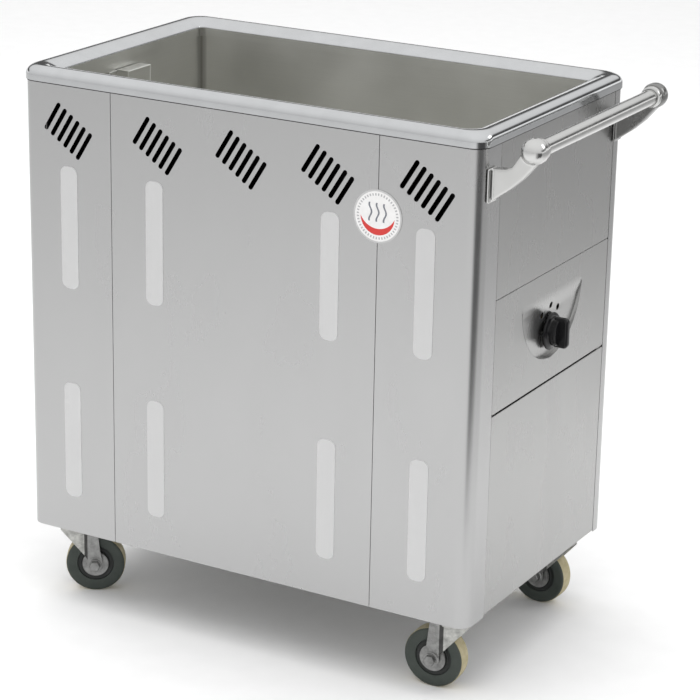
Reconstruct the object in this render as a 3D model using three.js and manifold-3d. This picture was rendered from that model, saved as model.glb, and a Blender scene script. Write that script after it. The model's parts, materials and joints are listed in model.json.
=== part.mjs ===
// Steam table unit: a gas heated water well in a folded sheet steel cabinet on four swivel casters.
// Millimetres, +Z up. The front faces -Y, the handle and control end faces +X.
// Inside the cabinet group, X = 0 and Y = 0 are the cabinet's centre and Z = 0 is its lower edge.
import * as THREE from "three";
import { mergeVertices } from "three/addons/utils/BufferGeometryUtils.js";
import Module from "manifold-3d";

// ---------- driving dimensions ----------
const CABINET_HEIGHT = 132; // lower edge of the cabinet above the floor
const HALF_LENGTH = 408.4;
const HALF_DEPTH = 248.7;
const RIM_TOP = 777.4;
const GAP = 0.3; // between pieces that touch
const SHEET = 1.5;
const SEAM = 0.4; // half of the open line between two skins

// skins
const CORNER_R = 23;
const SKIN_TOP = 762;
const SEAM_X = 239; // the skins' seams on the front and the back
const SEAM_FRONT_Y = -188; // the end panel's front seam
const SEAM_REAR_Y = 212; // the end panel's rear seam
const REAR_WRAP_START = 213; // leaves room for the door's rear edge to swing
const HEM = 10; // depth of the folded edges
const HEM_LOW = 20;
const HEM_HIGH = 750;

// louvres and pressed ribs
const VENT_X = [-320, -152, 0, 152, 320];
const VENT_Z = 681;
const SLOTS_PER_VENT = 6;
const SLOT_STEP_X = 11.9;
const SLOT_STEP_Z = -8.2;
const SLOT_LENGTH = 52;
const SLOT_WIDTH = 6;
const SLOT_ANGLE = THREE.MathUtils.degToRad(58.2);
const RIB_X = [158, 320];
const RIB_Z = [
  [63, 262],
  [422, 624],
];
const RIB_WIDTH = 32.5;
const RIB_RISE = 0.8;

// rim and well
const RIM_OVERHANG = 3.1;
const RIM_HEIGHT = 22.5;
const RIM_INSET = 41.2;
const RIM_WIDTH = RIM_OVERHANG + RIM_INSET;
const RIM_CORNER_R = 28;
// The rolled rim's section as [inset from its outer face, height above its lower edge].
const RIM_OUTSIDE = [
  [0, 0],
  [0, 9],
  [1.2, 14.5],
  [4, 19],
  [8, 21.7],
  [12, RIM_HEIGHT],
  [20, RIM_HEIGHT],
  [27, 21],
  [34, 18],
  [40, 14.2],
  [RIM_WIDTH, 9.9],
  [RIM_WIDTH, -5],
];
const RIM_UNDERSIDE = [
  [RIM_WIDTH - 1.2, -5],
  [RIM_WIDTH - 1.2, 9.3],
  [39.4, 13],
  [33.4, 16.7],
  [26.6, 19.7],
  [19.8, 21.2],
  [12.2, 21.2],
  [8.6, 20.5],
  [5, 18.1],
  [2.4, 13.9],
  [1.2, 8.8],
  [1.2, 0],
];
const WELL_FLOOR = 556;
const WELL_CORNER_R = 8;

// control end
const CONTROL_LOW = 331;
const CONTROL_HIGH = 512;
const DOOR_LOW = 4.6;
const DOOR_HIGH = 328;
const SCOOP_R = 107;
const SCOOP_TOP = 475;
const SCOOP_Y = 11;
const KNOB_Y = 12;
const KNOB_Z = 410;
const KNOB_BACK = 406.6;
const KNOB_FRONT = 438;
const PORT_R = 5.5; // the three indicator holes round the knob
const PORT_RING_R = 43.5;
const STEM_R = 4;
const HINGE_X = 404;
const HINGE_Y = 200;
const HINGE_PIN_R = 3;
const PIVOT_PLATE = 2;
const PIVOT_X = [376, 388];

// handle
const HANDLE_X = 474;
const HANDLE_Z = 754.5;
const HANDLE_R = 12.5;
const BRACKET_INNER_Y = 205;
const BRACKET_OUTER_Y = 235;
const BRACKET_BOSS_R = 20;
const COLLAR_R = 17;

// frame and burner gear
const POST_OUT_X = 397;
const POST_OUT_Y = 237;
const POST_LEG = 24;
const POST_WALL = 2.5;
const PAN_WALL = 2;
const PAN_HEIGHT = 15;
const TRAY_Z = 335;
const BURNER_Z = 505;
const BURNER_Y = 90;
const BURNER_R = 16;
const BURNER_HALF = 290;
const VALVE_X = [352, 392];
const MANIFOLD_X = 362;
const PIPE_R = 6;
const STEM_X = [374, 425];
const SUPPLY_X = 376;
const SUPPLY_Y = 170;
const BARB_Z = 286;
const DRAIN_X = 240;
const DRAIN_Y = 150;
const DRAIN_R = 15;
const DRAIN_BORE_R = 12.5;
const DRAIN_LEVER_Z = 172;

// label
const LABEL_R = 41;
const LABEL_Z = 630;

// casters
const SWIVEL_X = 360;
const SWIVEL_Y = 187;
const WHEEL_R = 50;
const WHEEL_SIDES = 28;
const WHEEL_TRAIL = 31;
const TYRE_HALF = 14.5;
const AXLE_Z = WHEEL_R * Math.cos(Math.PI / WHEEL_SIDES) - CABINET_HEIGHT;
const FORK_IN = 17.5;
const FORK_OUT = 20.5;

// the rim's left side and the handle bosses are the two ends of the object
const CENTRE_X = (HANDLE_X + BRACKET_BOSS_R - HALF_LENGTH - RIM_OVERHANG) / 2;

// ---------- solids ----------
const wasm = await Module();
wasm.setup();

function toSolid(geometry) {
  const bare = new THREE.BufferGeometry();
  bare.setAttribute("position", geometry.getAttribute("position"));
  bare.setIndex(geometry.index);
  const merged = mergeVertices(bare, 1e-4);
  const corners = merged.index.array;
  const triangles = [];
  for (let i = 0; i < corners.length; i += 3) {
    const [a, b, c] = corners.slice(i, i + 3);
    if (a !== b && b !== c && c !== a) triangles.push(a, b, c);
  }
  const build = (list) => {
    const vertProperties = merged.getAttribute("position").array;
    const triVerts = new Uint32Array(list);
    return new wasm.Manifold(new wasm.Mesh({ numProp: 3, vertProperties, triVerts }));
  };
  const made = build(triangles);
  return made.volume() > 0 ? made : build(triangles.reverse());
}

function toGeometry(solid) {
  const mesh = solid.getMesh();
  const geometry = new THREE.BufferGeometry();
  geometry.setAttribute("position", new THREE.BufferAttribute(mesh.vertProperties, 3));
  geometry.setIndex(new THREE.BufferAttribute(mesh.triVerts, 1));
  geometry.computeVertexNormals();
  return geometry;
}

function join(...geometries) {
  return toGeometry(geometries.map(toSolid).reduce((all, one) => all.add(one)));
}

function cut(base, ...tools) {
  return toGeometry(tools.map(toSolid).reduce((left, tool) => left.subtract(tool), toSolid(base)));
}

function common(first, second) {
  return toGeometry(toSolid(first).intersect(toSolid(second)));
}

// ---------- shapes ----------
function box(x0, x1, y0, y1, z0, z1) {
  const geometry = new THREE.BoxGeometry(x1 - x0, y1 - y0, z1 - z0);
  return geometry.translate((x0 + x1) / 2, (y0 + y1) / 2, (z0 + z1) / 2);
}

// A cylinder along an axis, from one place on it to another, through (a, b) of the other two axes.
function rod(axis, radius, from, to, a, b, sides = 24) {
  const geometry = new THREE.CylinderGeometry(radius, radius, to - from, sides);
  const middle = (from + to) / 2;
  if (axis === "x") return geometry.rotateZ(-Math.PI / 2).translate(middle, a, b);
  if (axis === "y") return geometry.translate(a, middle, b);
  return geometry.rotateX(Math.PI / 2).translate(a, b, middle);
}

function arc(cx, cy, radius, fromDeg, toDeg, steps) {
  const points = [];
  for (let i = 0; i <= steps; i++) {
    const angle = THREE.MathUtils.degToRad(fromDeg + ((toDeg - fromDeg) * i) / steps);
    points.push(new THREE.Vector2(cx + radius * Math.cos(angle), cy + radius * Math.sin(angle)));
  }
  return points;
}

function outline(pairs) {
  return pairs.map(([x, y]) => new THREE.Vector2(x, y));
}

function roundedRectangle(halfX, halfY, radius, steps) {
  const x = halfX - radius;
  const y = halfY - radius;
  return [
    ...arc(x, y, radius, 0, 90, steps),
    ...arc(-x, y, radius, 90, 180, steps),
    ...arc(-x, -y, radius, 180, 270, steps),
    ...arc(x, -y, radius, 270, 360, steps),
  ];
}

// A slot with round ends, of the given length and width, turned by an angle.
function slotOutline(cx, cy, length, width, angle, steps) {
  const reach = (length - width) / 2;
  const dx = reach * Math.cos(angle);
  const dy = reach * Math.sin(angle);
  const turn = THREE.MathUtils.radToDeg(angle);
  return [
    ...arc(cx + dx, cy + dy, width / 2, turn - 90, turn + 90, steps),
    ...arc(cx - dx, cy - dy, width / 2, turn + 90, turn + 270, steps),
  ];
}

function prismZ(points, z0, z1, options = {}) {
  const shape = new THREE.Shape(points);
  const settings = { depth: z1 - z0, bevelEnabled: false, steps: 1, ...options };
  return new THREE.ExtrudeGeometry(shape, settings).translate(0, 0, z0);
}

// Points are (x, z); the prism runs along Y.
function prismY(points, y0, y1, options = {}) {
  return prismZ(points, 0, y1 - y0, options).rotateX(Math.PI / 2).translate(0, y1, 0);
}

// Points are (y, z); the prism runs along X.
function prismX(points, x0, x1, options = {}) {
  const turn = new THREE.Matrix4().makeBasis(
    new THREE.Vector3(0, 1, 0),
    new THREE.Vector3(0, 0, 1),
    new THREE.Vector3(1, 0, 0),
  );
  return prismZ(points, 0, x1 - x0, options).applyMatrix4(turn).translate(x0, 0, 0);
}

// A closed ring or disc from (radius, height) points, turned round Z.
function turnedZ(pairs, sides) {
  return new THREE.LatheGeometry(outline([...pairs, pairs[0]]), sides).rotateX(Math.PI / 2);
}

// ---------- the cabinet's skins ----------
function ventCutters() {
  const cutters = [];
  for (const x of VENT_X) {
    for (let i = 0; i < SLOTS_PER_VENT; i++) {
      const step = i - (SLOTS_PER_VENT - 1) / 2;
      const slot = slotOutline(
        x + step * SLOT_STEP_X,
        VENT_Z + step * SLOT_STEP_Z,
        SLOT_LENGTH,
        SLOT_WIDTH,
        SLOT_ANGLE,
        3,
      );
      cutters.push({ x, geometry: prismY(slot, -HALF_DEPTH - 5, -HALF_DEPTH + 5) });
    }
  }
  return cutters;
}

// The pressed ribs stand out of the skin and are hollow behind.
function ribPair(x) {
  return RIB_Z.map(([low, high]) => {
    const middle = (low + high) / 2;
    const length = high - low;
    const rise = slotOutline(x, middle, length, RIB_WIDTH, Math.PI / 2, 4);
    const hollow = slotOutline(x, middle, length - 4, RIB_WIDTH - 4, Math.PI / 2, 4);
    return {
      rise: prismY(rise, -HALF_DEPTH - RIB_RISE, -HALF_DEPTH + SHEET / 2),
      hollow: prismY(hollow, -HALF_DEPTH + SHEET - RIB_RISE, -HALF_DEPTH + SHEET + 1),
    };
  });
}

// Adds the louvres and ribs of one skin, all worked out for the front face.
function pressed(skin, low, high) {
  const ribs = [-1, 1]
    .flatMap((side) => RIB_X.map((x) => side * x))
    .filter((x) => x > low && x < high)
    .flatMap(ribPair);
  const slots = ventCutters()
    .filter(({ x }) => x > low && x < high)
    .map(({ geometry }) => geometry);
  const raised = join(skin, ...ribs.map(({ rise }) => rise));
  return cut(raised, ...ribs.map(({ hollow }) => hollow), ...slots);
}

function centrePanel() {
  const edge = SEAM_X - SEAM;
  const skin = join(
    box(-edge, edge, -HALF_DEPTH, -HALF_DEPTH + SHEET, 0, SKIN_TOP),
    box(-edge, -edge + SHEET, -HALF_DEPTH, -HALF_DEPTH + HEM, HEM_LOW, HEM_HIGH),
    box(edge - SHEET, edge, -HALF_DEPTH, -HALF_DEPTH + HEM, HEM_LOW, HEM_HIGH),
  );
  return pressed(skin, -SEAM_X, SEAM_X);
}

// A skin that wraps the corner at +X, -Y; wrap is how far it reaches round the end.
function cornerSkin(wrap) {
  const start = SEAM_X + SEAM;
  const endY = -HALF_DEPTH + wrap;
  const bendX = HALF_LENGTH - CORNER_R;
  const bendY = -HALF_DEPTH + CORNER_R;
  const section = [
    new THREE.Vector2(start, -HALF_DEPTH),
    ...arc(bendX, bendY, CORNER_R, -90, 0, 6),
    new THREE.Vector2(HALF_LENGTH, endY),
    new THREE.Vector2(HALF_LENGTH - SHEET, endY),
    ...arc(bendX, bendY, CORNER_R - SHEET, 0, -90, 6),
    new THREE.Vector2(start, -HALF_DEPTH + SHEET),
  ];
  return join(
    prismZ(section, 0, SKIN_TOP),
    box(start, start + SHEET, -HALF_DEPTH, -HALF_DEPTH + HEM, HEM_LOW, HEM_HIGH),
    box(HALF_LENGTH - HEM, HALF_LENGTH, endY - SHEET, endY, HEM_LOW, HEM_HIGH),
  );
}

// side is +1 for the right of the front face and -1 for its left.
function cornerPanel(side, wrap) {
  const skin = cornerSkin(wrap).scale(side, 1, 1);
  const edge = HALF_LENGTH;
  return side > 0 ? pressed(skin, SEAM_X, edge) : pressed(skin, -edge, -SEAM_X);
}

// A flat panel on the right end with folded edges, between two heights.
function endPanel(low, high, hemLow = low, hemHigh = high) {
  const front = SEAM_FRONT_Y + SEAM;
  const rear = SEAM_REAR_Y - SEAM;
  const inner = HALF_LENGTH - HEM;
  return join(
    box(HALF_LENGTH - SHEET, HALF_LENGTH, front, rear, low, high),
    box(inner, HALF_LENGTH, front, front + SHEET, hemLow, hemHigh),
    box(inner, HALF_LENGTH, rear - SHEET, rear, hemLow, hemHigh),
    box(inner, HALF_LENGTH, front, rear, hemLow, hemLow + SHEET),
    box(inner, HALF_LENGTH, front, rear, hemHigh - SHEET, hemHigh),
  );
}

function leftEndPanel() {
  return endPanel(0, SKIN_TOP, HEM_LOW, HEM_HIGH).scale(-1, 1, 1);
}

// ---------- control panel, knob and valve ----------
// The half round recess: its floor slopes inwards going down, and its wall is bevelled.
function scoop(grow) {
  const bevel = 9;
  const radius = SCOOP_R - bevel + grow;
  const half = arc(SCOOP_Y, SCOOP_TOP - bevel + grow, radius, 180, 360, 16);
  const bowl = prismX(half, HALF_LENGTH - 10 - grow, HALF_LENGTH - 9, {
    bevelEnabled: true,
    bevelThickness: 10,
    bevelSize: bevel,
    bevelSegments: 1,
  });
  const floorTop = HALF_LENGTH - 2 - grow;
  const floorLow = HALF_LENGTH - 9.6 - grow;
  const low = SCOOP_TOP - SCOOP_R - 6;
  const front = HALF_LENGTH + 4;
  const wedge = outline([
    [front, SCOOP_TOP + 6],
    [floorTop, SCOOP_TOP + 6],
    [floorLow, low],
    [front, low],
  ]);
  const sloping = prismY(wedge, SCOOP_Y - 2 * SCOOP_R, SCOOP_Y + 2 * SCOOP_R);
  return common(bowl, sloping);
}

function controlPanel() {
  const plate = endPanel(CONTROL_LOW, CONTROL_HIGH - SEAM);
  const slab = box(HALF_LENGTH - 20, HALF_LENGTH - SHEET / 2, -150, 172, 340, 500);
  const shell = common(scoop(SHEET), slab);
  const ports = [-40, 0, 40].map((turn) => {
    const angle = THREE.MathUtils.degToRad(turn);
    const y = KNOB_Y + PORT_RING_R * Math.sin(angle);
    const z = KNOB_Z - 1.5 + PORT_RING_R * Math.cos(angle);
    return rod("x", PORT_R, HALF_LENGTH - 20, HALF_LENGTH + 2, y, z, 16);
  });
  const shaftHole = rod("x", 9, HALF_LENGTH - 20, HALF_LENGTH + 2, KNOB_Y, KNOB_Z, 20);
  return cut(join(plate, shell), scoop(0), ...ports, shaftHole);
}

function controlKnob() {
  const skirtFront = KNOB_BACK + 5;
  const drumFront = KNOB_FRONT - 14;
  const body = join(
    rod("x", 30, KNOB_BACK, skirtFront, KNOB_Y, KNOB_Z, 32),
    rod("x", 22, KNOB_BACK, drumFront, KNOB_Y, KNOB_Z, 24),
    prismX(slotOutline(KNOB_Y, KNOB_Z, 49, 12, Math.PI / 2, 5), KNOB_BACK, KNOB_FRONT),
  );
  return cut(body, rod("x", STEM_R + GAP, KNOB_BACK - 1, STEM_X[1] + 2, KNOB_Y, KNOB_Z, 16));
}

function gasValve() {
  const [back, front] = VALVE_X;
  const body = join(
    box(back, front, KNOB_Y - 18, KNOB_Y + 20, KNOB_Z - 18, KNOB_Z + 18),
    rod("x", 10, front - 1, front + 4, KNOB_Y, KNOB_Z, 20),
  );
  return cut(body, rod("x", STEM_R + GAP, STEM_X[0] - 4, front + 5, KNOB_Y, KNOB_Z, 16));
}

function gasManifold() {
  const tip = BURNER_HALF + 4;
  return join(
    rod("z", PIPE_R, KNOB_Z + 18 + GAP, BURNER_Z, MANIFOLD_X, KNOB_Y, 12),
    rod("y", PIPE_R, -BURNER_Y - PIPE_R, BURNER_Y + PIPE_R, MANIFOLD_X, BURNER_Z, 12),
    rod("x", 4, tip, MANIFOLD_X, -BURNER_Y, BURNER_Z, 12),
    rod("x", 4, tip, MANIFOLD_X, BURNER_Y, BURNER_Z, 12),
  );
}

// The supply pipe ends in a hose barb inside the lower compartment.
function gasSupplyPipe() {
  const barb = [0, 1, 2].map((i) => {
    const ridge = new THREE.CylinderGeometry(7.2, 5, 8, 10).rotateX(Math.PI / 2);
    return ridge.translate(SUPPLY_X, SUPPLY_Y, BARB_Z + 8 * i);
  });
  return join(
    rod("y", PIPE_R, KNOB_Y + 20 + GAP, SUPPLY_Y + PIPE_R, SUPPLY_X, KNOB_Z - 8, 12),
    rod("z", PIPE_R, 300, KNOB_Z - 8, SUPPLY_X, SUPPLY_Y, 12),
    ...barb,
  );
}

// A tube closed at its far end, with flame slits along its top.
function burner(y) {
  const tube = rod("x", BURNER_R, -BURNER_HALF, BURNER_HALF, y, BURNER_Z, 16);
  const bore = rod("x", BURNER_R - 2, -BURNER_HALF + 4, BURNER_HALF + 1, y, BURNER_Z, 16);
  const slits = [];
  for (let i = -3; i <= 3; i++) {
    slits.push(box(i * 76 - 30, i * 76 + 30, y - 1.5, y + 1.5, BURNER_Z, BURNER_Z + 20));
  }
  return cut(tube, bore, ...slits);
}

function burnerCrossbar(x) {
  const top = BURNER_Z - BURNER_R - GAP;
  const end = HALF_DEPTH - SHEET - GAP;
  return box(x - 12, x + 12, -end, end, top - 4, top);
}

// ---------- access door ----------
function accessDoor() {
  const panel = endPanel(DOOR_LOW, DOOR_HIGH, HEM_LOW - 1, DOOR_HIGH);
  return cut(panel, rod("z", HINGE_PIN_R + 0.5, DOOR_LOW - 1, DOOR_HIGH + 2, HINGE_X, HINGE_Y, 16));
}

// The upper pivot: a plate above the door with a pin that points down into its knuckle.
function upperPivot(z0, pinEnd) {
  const z1 = z0 + PIVOT_PLATE;
  const inner = PIVOT_X[1];
  return join(
    box(inner, HALF_LENGTH - SHEET - GAP, HINGE_Y - 8, HINGE_Y + 9, z0, z1),
    box(inner, POST_OUT_X - POST_WALL - GAP, HINGE_Y, POST_OUT_Y - POST_WALL - GAP, z0, z1),
    rod("z", HINGE_PIN_R, pinEnd, z0 + 1, HINGE_X, HINGE_Y, 16),
  );
}

// The lower pivot: a plate on the base pan's floor, under the door, with a pin that points up.
function lowerPivot(pinEnd) {
  const z0 = PAN_WALL + GAP;
  const plate = box(PIVOT_X[0], HALF_LENGTH - SHEET, HINGE_Y - 10, HINGE_Y + 12, z0, z0 + PIVOT_PLATE);
  return join(plate, rod("z", HINGE_PIN_R, z0 + 1, pinEnd, HINGE_X, HINGE_Y, 16));
}

// A block fixed inside the door, bored for the pivot pin.
function doorKnuckle(z0, z1) {
  const face = HALF_LENGTH - SHEET - GAP;
  const block = box(face - 8, face, HINGE_Y - 16, HINGE_Y + 7, z0, z1);
  return cut(block, rod("z", HINGE_PIN_R + 0.15, z0 - 1, z1 + 1, HINGE_X, HINGE_Y, 16));
}

function doorCatch() {
  return box(385.3, 393, -178, -150, TRAY_Z - GAP - 14, TRAY_Z - GAP);
}

// ---------- rim and well ----------
// The rolled rim: every point of its section becomes a rounded rectangle round the top.
function topRim() {
  const low = RIM_TOP - RIM_HEIGHT;
  const section = [...RIM_OUTSIDE, ...RIM_UNDERSIDE];
  const rows = section.map(([inset, height]) => {
    const radius = Math.min(RIM_CORNER_R, WELL_CORNER_R + RIM_WIDTH - inset);
    const halfX = HALF_LENGTH + RIM_OVERHANG - inset;
    const halfY = HALF_DEPTH + RIM_OVERHANG - inset;
    return roundedRectangle(halfX, halfY, radius, 5).map((p) => [p.x, p.y, low + height]);
  });
  const count = rows[0].length;
  const index = [];
  for (let i = 0; i < rows.length; i += 1) {
    const here = i * count;
    const next = ((i + 1) % rows.length) * count;
    for (let j = 0; j < count; j += 1) {
      const k = (j + 1) % count;
      index.push(here + j, here + k, next + k);
      index.push(here + j, next + k, next + j);
    }
  }
  const surface = new THREE.BufferGeometry();
  surface.setAttribute("position", new THREE.Float32BufferAttribute(rows.flat(2), 3));
  surface.setIndex(index);
  return toGeometry(toSolid(surface));
}

function wellTank() {
  const clear = SHEET + GAP;
  const inX = HALF_LENGTH - RIM_INSET + clear;
  const inY = HALF_DEPTH - RIM_INSET + clear;
  const shell = prismZ(
    roundedRectangle(inX + SHEET, inY + SHEET, WELL_CORNER_R + clear + SHEET, 4), WELL_FLOOR, 763.5);
  const hollow = prismZ(
    roundedRectangle(inX, inY, WELL_CORNER_R + clear, 4), WELL_FLOOR + SHEET, 770);
  return cut(shell, hollow, rod("z", DRAIN_BORE_R, 550, 560, DRAIN_X, DRAIN_Y, 16));
}

// A folded cover over the overflow hole in the well's left wall.
function overflowGuard() {
  const wall = -(HALF_LENGTH - RIM_INSET + SHEET);
  const out = wall + 24;
  const front = -46;
  const rear = 18;
  const sheet = 1.2;
  const tab = 22;
  const plan = outline([
    [wall, front - tab],
    [wall + sheet, front - tab],
    [wall + sheet, front],
    [out, front],
    [out, rear],
    [wall + sheet, rear],
    [wall + sheet, rear + tab],
    [wall, rear + tab],
    [wall, rear - sheet],
    [out - sheet, rear - sheet],
    [out - sheet, front + sheet],
    [wall, front + sheet],
  ]);
  return prismZ(plan, WELL_FLOOR + 40, 735);
}

// ---------- inner frame ----------
// The square hole that the drain pipe passes through in the pan and the tray.
function drainCutOut(z0, z1) {
  const half = 35;
  return box(DRAIN_X - half, DRAIN_X + half, DRAIN_Y - half, DRAIN_Y + half, z0, z1);
}

function basePan() {
  const x = 404.5;
  const y = 245.5;
  const solid = prismZ(roundedRectangle(x, y, 19, 4), 0, PAN_HEIGHT);
  const tray = prismZ(roundedRectangle(x - PAN_WALL, y - PAN_WALL, 17, 4), PAN_WALL, PAN_HEIGHT + 1);
  const doorNotch = box(x - 12, x + 2, HINGE_Y - 13, HINGE_Y + 15, PAN_WALL, PAN_HEIGHT + 1);
  return cut(solid, tray, doorNotch, drainCutOut(-1, 5));
}

function cornerPost(sideX, sideY) {
  const foot = PAN_WALL + GAP;
  const head = RIM_TOP - 7.5;
  const angle = outline([
    [POST_OUT_X, POST_OUT_Y],
    [POST_OUT_X - POST_LEG, POST_OUT_Y],
    [POST_OUT_X - POST_LEG, POST_OUT_Y - POST_WALL],
    [POST_OUT_X - POST_WALL, POST_OUT_Y - POST_WALL],
    [POST_OUT_X - POST_WALL, POST_OUT_Y - POST_LEG],
    [POST_OUT_X, POST_OUT_Y - POST_LEG],
  ]);
  return toGeometry(toSolid(prismZ(angle, foot, head).scale(sideX, sideY, 1)));
}

function heatTray() {
  const x = POST_OUT_X - POST_WALL - 0.6;
  const y = POST_OUT_Y - POST_WALL - 0.6;
  return cut(
    box(-x, x, -y, y, TRAY_Z, TRAY_Z + SHEET),
    drainCutOut(TRAY_Z - 2, TRAY_Z + 4),
    rod("z", PIPE_R + 1.5, TRAY_Z - 2, TRAY_Z + 4, SUPPLY_X, SUPPLY_Y, 16),
  );
}

// ---------- drain ----------
function drainPipe() {
  const top = WELL_FLOOR - GAP;
  const tube = join(
    rod("z", DRAIN_R, 200, top, DRAIN_X, DRAIN_Y, 16),
    rod("z", DRAIN_R + 7, top - 4, top, DRAIN_X, DRAIN_Y, 16),
  );
  return cut(tube, rod("z", DRAIN_BORE_R, 199, top + 1, DRAIN_X, DRAIN_Y, 16));
}

function drainValve() {
  const top = 200 - GAP;
  const body = join(
    rod("z", DRAIN_R, -25, top, DRAIN_X, DRAIN_Y, 16),
    rod("z", 21, DRAIN_LEVER_Z - 18, DRAIN_LEVER_Z + 18, DRAIN_X, DRAIN_Y, 16),
    rod("x", 9, DRAIN_X, DRAIN_X + 27, DRAIN_Y, DRAIN_LEVER_Z, 16),
  );
  return cut(body, rod("z", DRAIN_BORE_R, -26, top + 1, DRAIN_X, DRAIN_Y, 16));
}

function drainLever() {
  const start = DRAIN_X + 27 + GAP;
  const arm = slotOutline(DRAIN_Y + 30, DRAIN_LEVER_Z, 76, 16, 0, 5);
  return prismX(arm, start, start + 3);
}

// ---------- handle ----------
function handleTube() {
  const end = BRACKET_INNER_Y + 19;
  const tube = rod("y", HANDLE_R, -end, end, HANDLE_X, HANDLE_Z, 24);
  return cut(tube, rod("y", HANDLE_R - SHEET, -end - 1, end + 1, HANDLE_X, HANDLE_Z, 24));
}

// side is +1 for the rear bracket and -1 for the front one.
function handleBracket(side) {
  const wall = HALF_LENGTH + GAP;
  const web = [
    ...outline([
      [wall, 672],
      [414, 674],
      [441, 694],
      [459, 711],
    ]),
    ...arc(HANDLE_X, HANDLE_Z, BRACKET_BOSS_R - 1, -50, 190, 6),
    ...outline([
      [447, 735],
      [439, 727],
      [430, 723.5],
      [wall, 721],
    ]),
  ];
  const solid = join(
    prismY(web, BRACKET_INNER_Y + 3, BRACKET_OUTER_Y - 3),
    rod("y", BRACKET_BOSS_R, BRACKET_INNER_Y, BRACKET_OUTER_Y, HANDLE_X, HANDLE_Z, 20),
    rod("y", COLLAR_R, BRACKET_INNER_Y - 10, BRACKET_INNER_Y + 1, HANDLE_X, HANDLE_Z, 20),
    box(wall, 412, BRACKET_INNER_Y, BRACKET_OUTER_Y, 671, 723),
  );
  const socket = rod(
    "y", HANDLE_R + GAP, BRACKET_INNER_Y - 12, BRACKET_INNER_Y + 20, HANDLE_X, HANDLE_Z);
  return toGeometry(toSolid(cut(solid, socket).scale(1, side, 1)));
}

function labelDisc() {
  const back = -HALF_DEPTH - GAP;
  return rod("y", LABEL_R, back - 0.8, back, SEAM_X, LABEL_Z, 48);
}

// ---------- casters ----------
// Local frame: Z is the swivel axis and +X points the way the wheel trails.
function casterPlate() {
  const race = [
    [8, -2],
    [28, -2],
    [28, -6],
    [24, -12.3],
    [8, -12.3],
  ];
  return join(
    prismZ(roundedRectangle(36, 30, 6, 3), -3.3, -GAP),
    turnedZ(race, 14),
  );
}

function casterFork() {
  const crown = join(
    turnedZ([[7, -12.6], [25, -12.6], [28, -16], [28, -20], [7, -20]], 14),
    box(-20, 35, -FORK_OUT, FORK_OUT, -20, -17),
  );
  const leg = [
    ...outline([
      [-27, -17],
      [-27, -22],
      [18, -74],
    ]),
    ...arc(WHEEL_TRAIL, AXLE_Z, 13, 165, 370, 8),
    ...outline([
      [40, -58],
      [35, -17],
    ]),
  ];
  const legs = [
    prismY(leg, FORK_IN, FORK_OUT),
    prismY(leg, -FORK_OUT, -FORK_IN),
    rod("y", 9, FORK_OUT - 1, FORK_OUT + 3.5, WHEEL_TRAIL, AXLE_Z, 12),
    rod("y", 9, -FORK_OUT - 3.5, 1 - FORK_OUT, WHEEL_TRAIL, AXLE_Z, 12),
  ];
  return cut(join(crown, ...legs), rod("y", 5.3, -30, 30, WHEEL_TRAIL, AXLE_Z, 12));
}

function axleBolt() {
  const face = FORK_OUT + 3.5 + GAP;
  return join(
    rod("y", 5, -face - 1, face + 1, WHEEL_TRAIL, AXLE_Z, 12),
    rod("y", 9, face, face + 6.5, WHEEL_TRAIL, AXLE_Z, 6),
    rod("y", 9, -face - 6.5, -face, WHEEL_TRAIL, AXLE_Z, 6),
  );
}

// A wheel ring round the axle, with a flat of the tyre's polygon underneath.
function wheelRing(pairs, sides) {
  const profile = outline([...pairs, pairs[0]]);
  const geometry = new THREE.LatheGeometry(profile, sides, Math.PI / sides);
  return toGeometry(toSolid(geometry.translate(WHEEL_TRAIL, 0, AXLE_Z)));
}

function tyre() {
  const profile = [
    [30, -TYRE_HALF + 1],
    [45.5, -TYRE_HALF],
    [WHEEL_R, -TYRE_HALF + 5],
    [WHEEL_R, TYRE_HALF - 5],
    [45.5, TYRE_HALF],
    [30, TYRE_HALF - 1],
  ];
  return wheelRing(profile, WHEEL_SIDES);
}

function hub() {
  const profile = [
    [5.35, -15.8],
    [22.5, -15.8],
    [22.5, -10],
    [29.7, -10],
    [29.7, 10],
    [22.5, 10],
    [22.5, 15.8],
    [5.35, 15.8],
  ];
  return wheelRing(profile, 18);
}

// ---------- materials ----------
function finish(color, roughness, metalness) {
  return new THREE.MeshStandardMaterial({ color, roughness, metalness });
}

const LOOK = {
  steel: () => finish(0xb9bbbc, 0.38, 1),
  polished: () => finish(0xc9ced3, 0.18, 1),
  well: () => finish(0x8f8e88, 0.35, 1),
  zinc: () => finish(0xa9abac, 0.45, 1),
  iron: () => finish(0x4a4744, 0.75, 0.6),
  brass: () => finish(0xb08d4a, 0.35, 1),
  rubber: () => finish(0x3a423d, 0.75, 0),
  core: () => finish(0x1d1f1e, 0.6, 0),
  knob: () => finish(0x0d0d0e, 0.15, 0),
  label: () => finish(0xe6e3e2, 0.4, 0),
};

function piece(name, geometry, look) {
  const mesh = new THREE.Mesh(geometry, LOOK[look]());
  mesh.name = name;
  return mesh;
}

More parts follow.
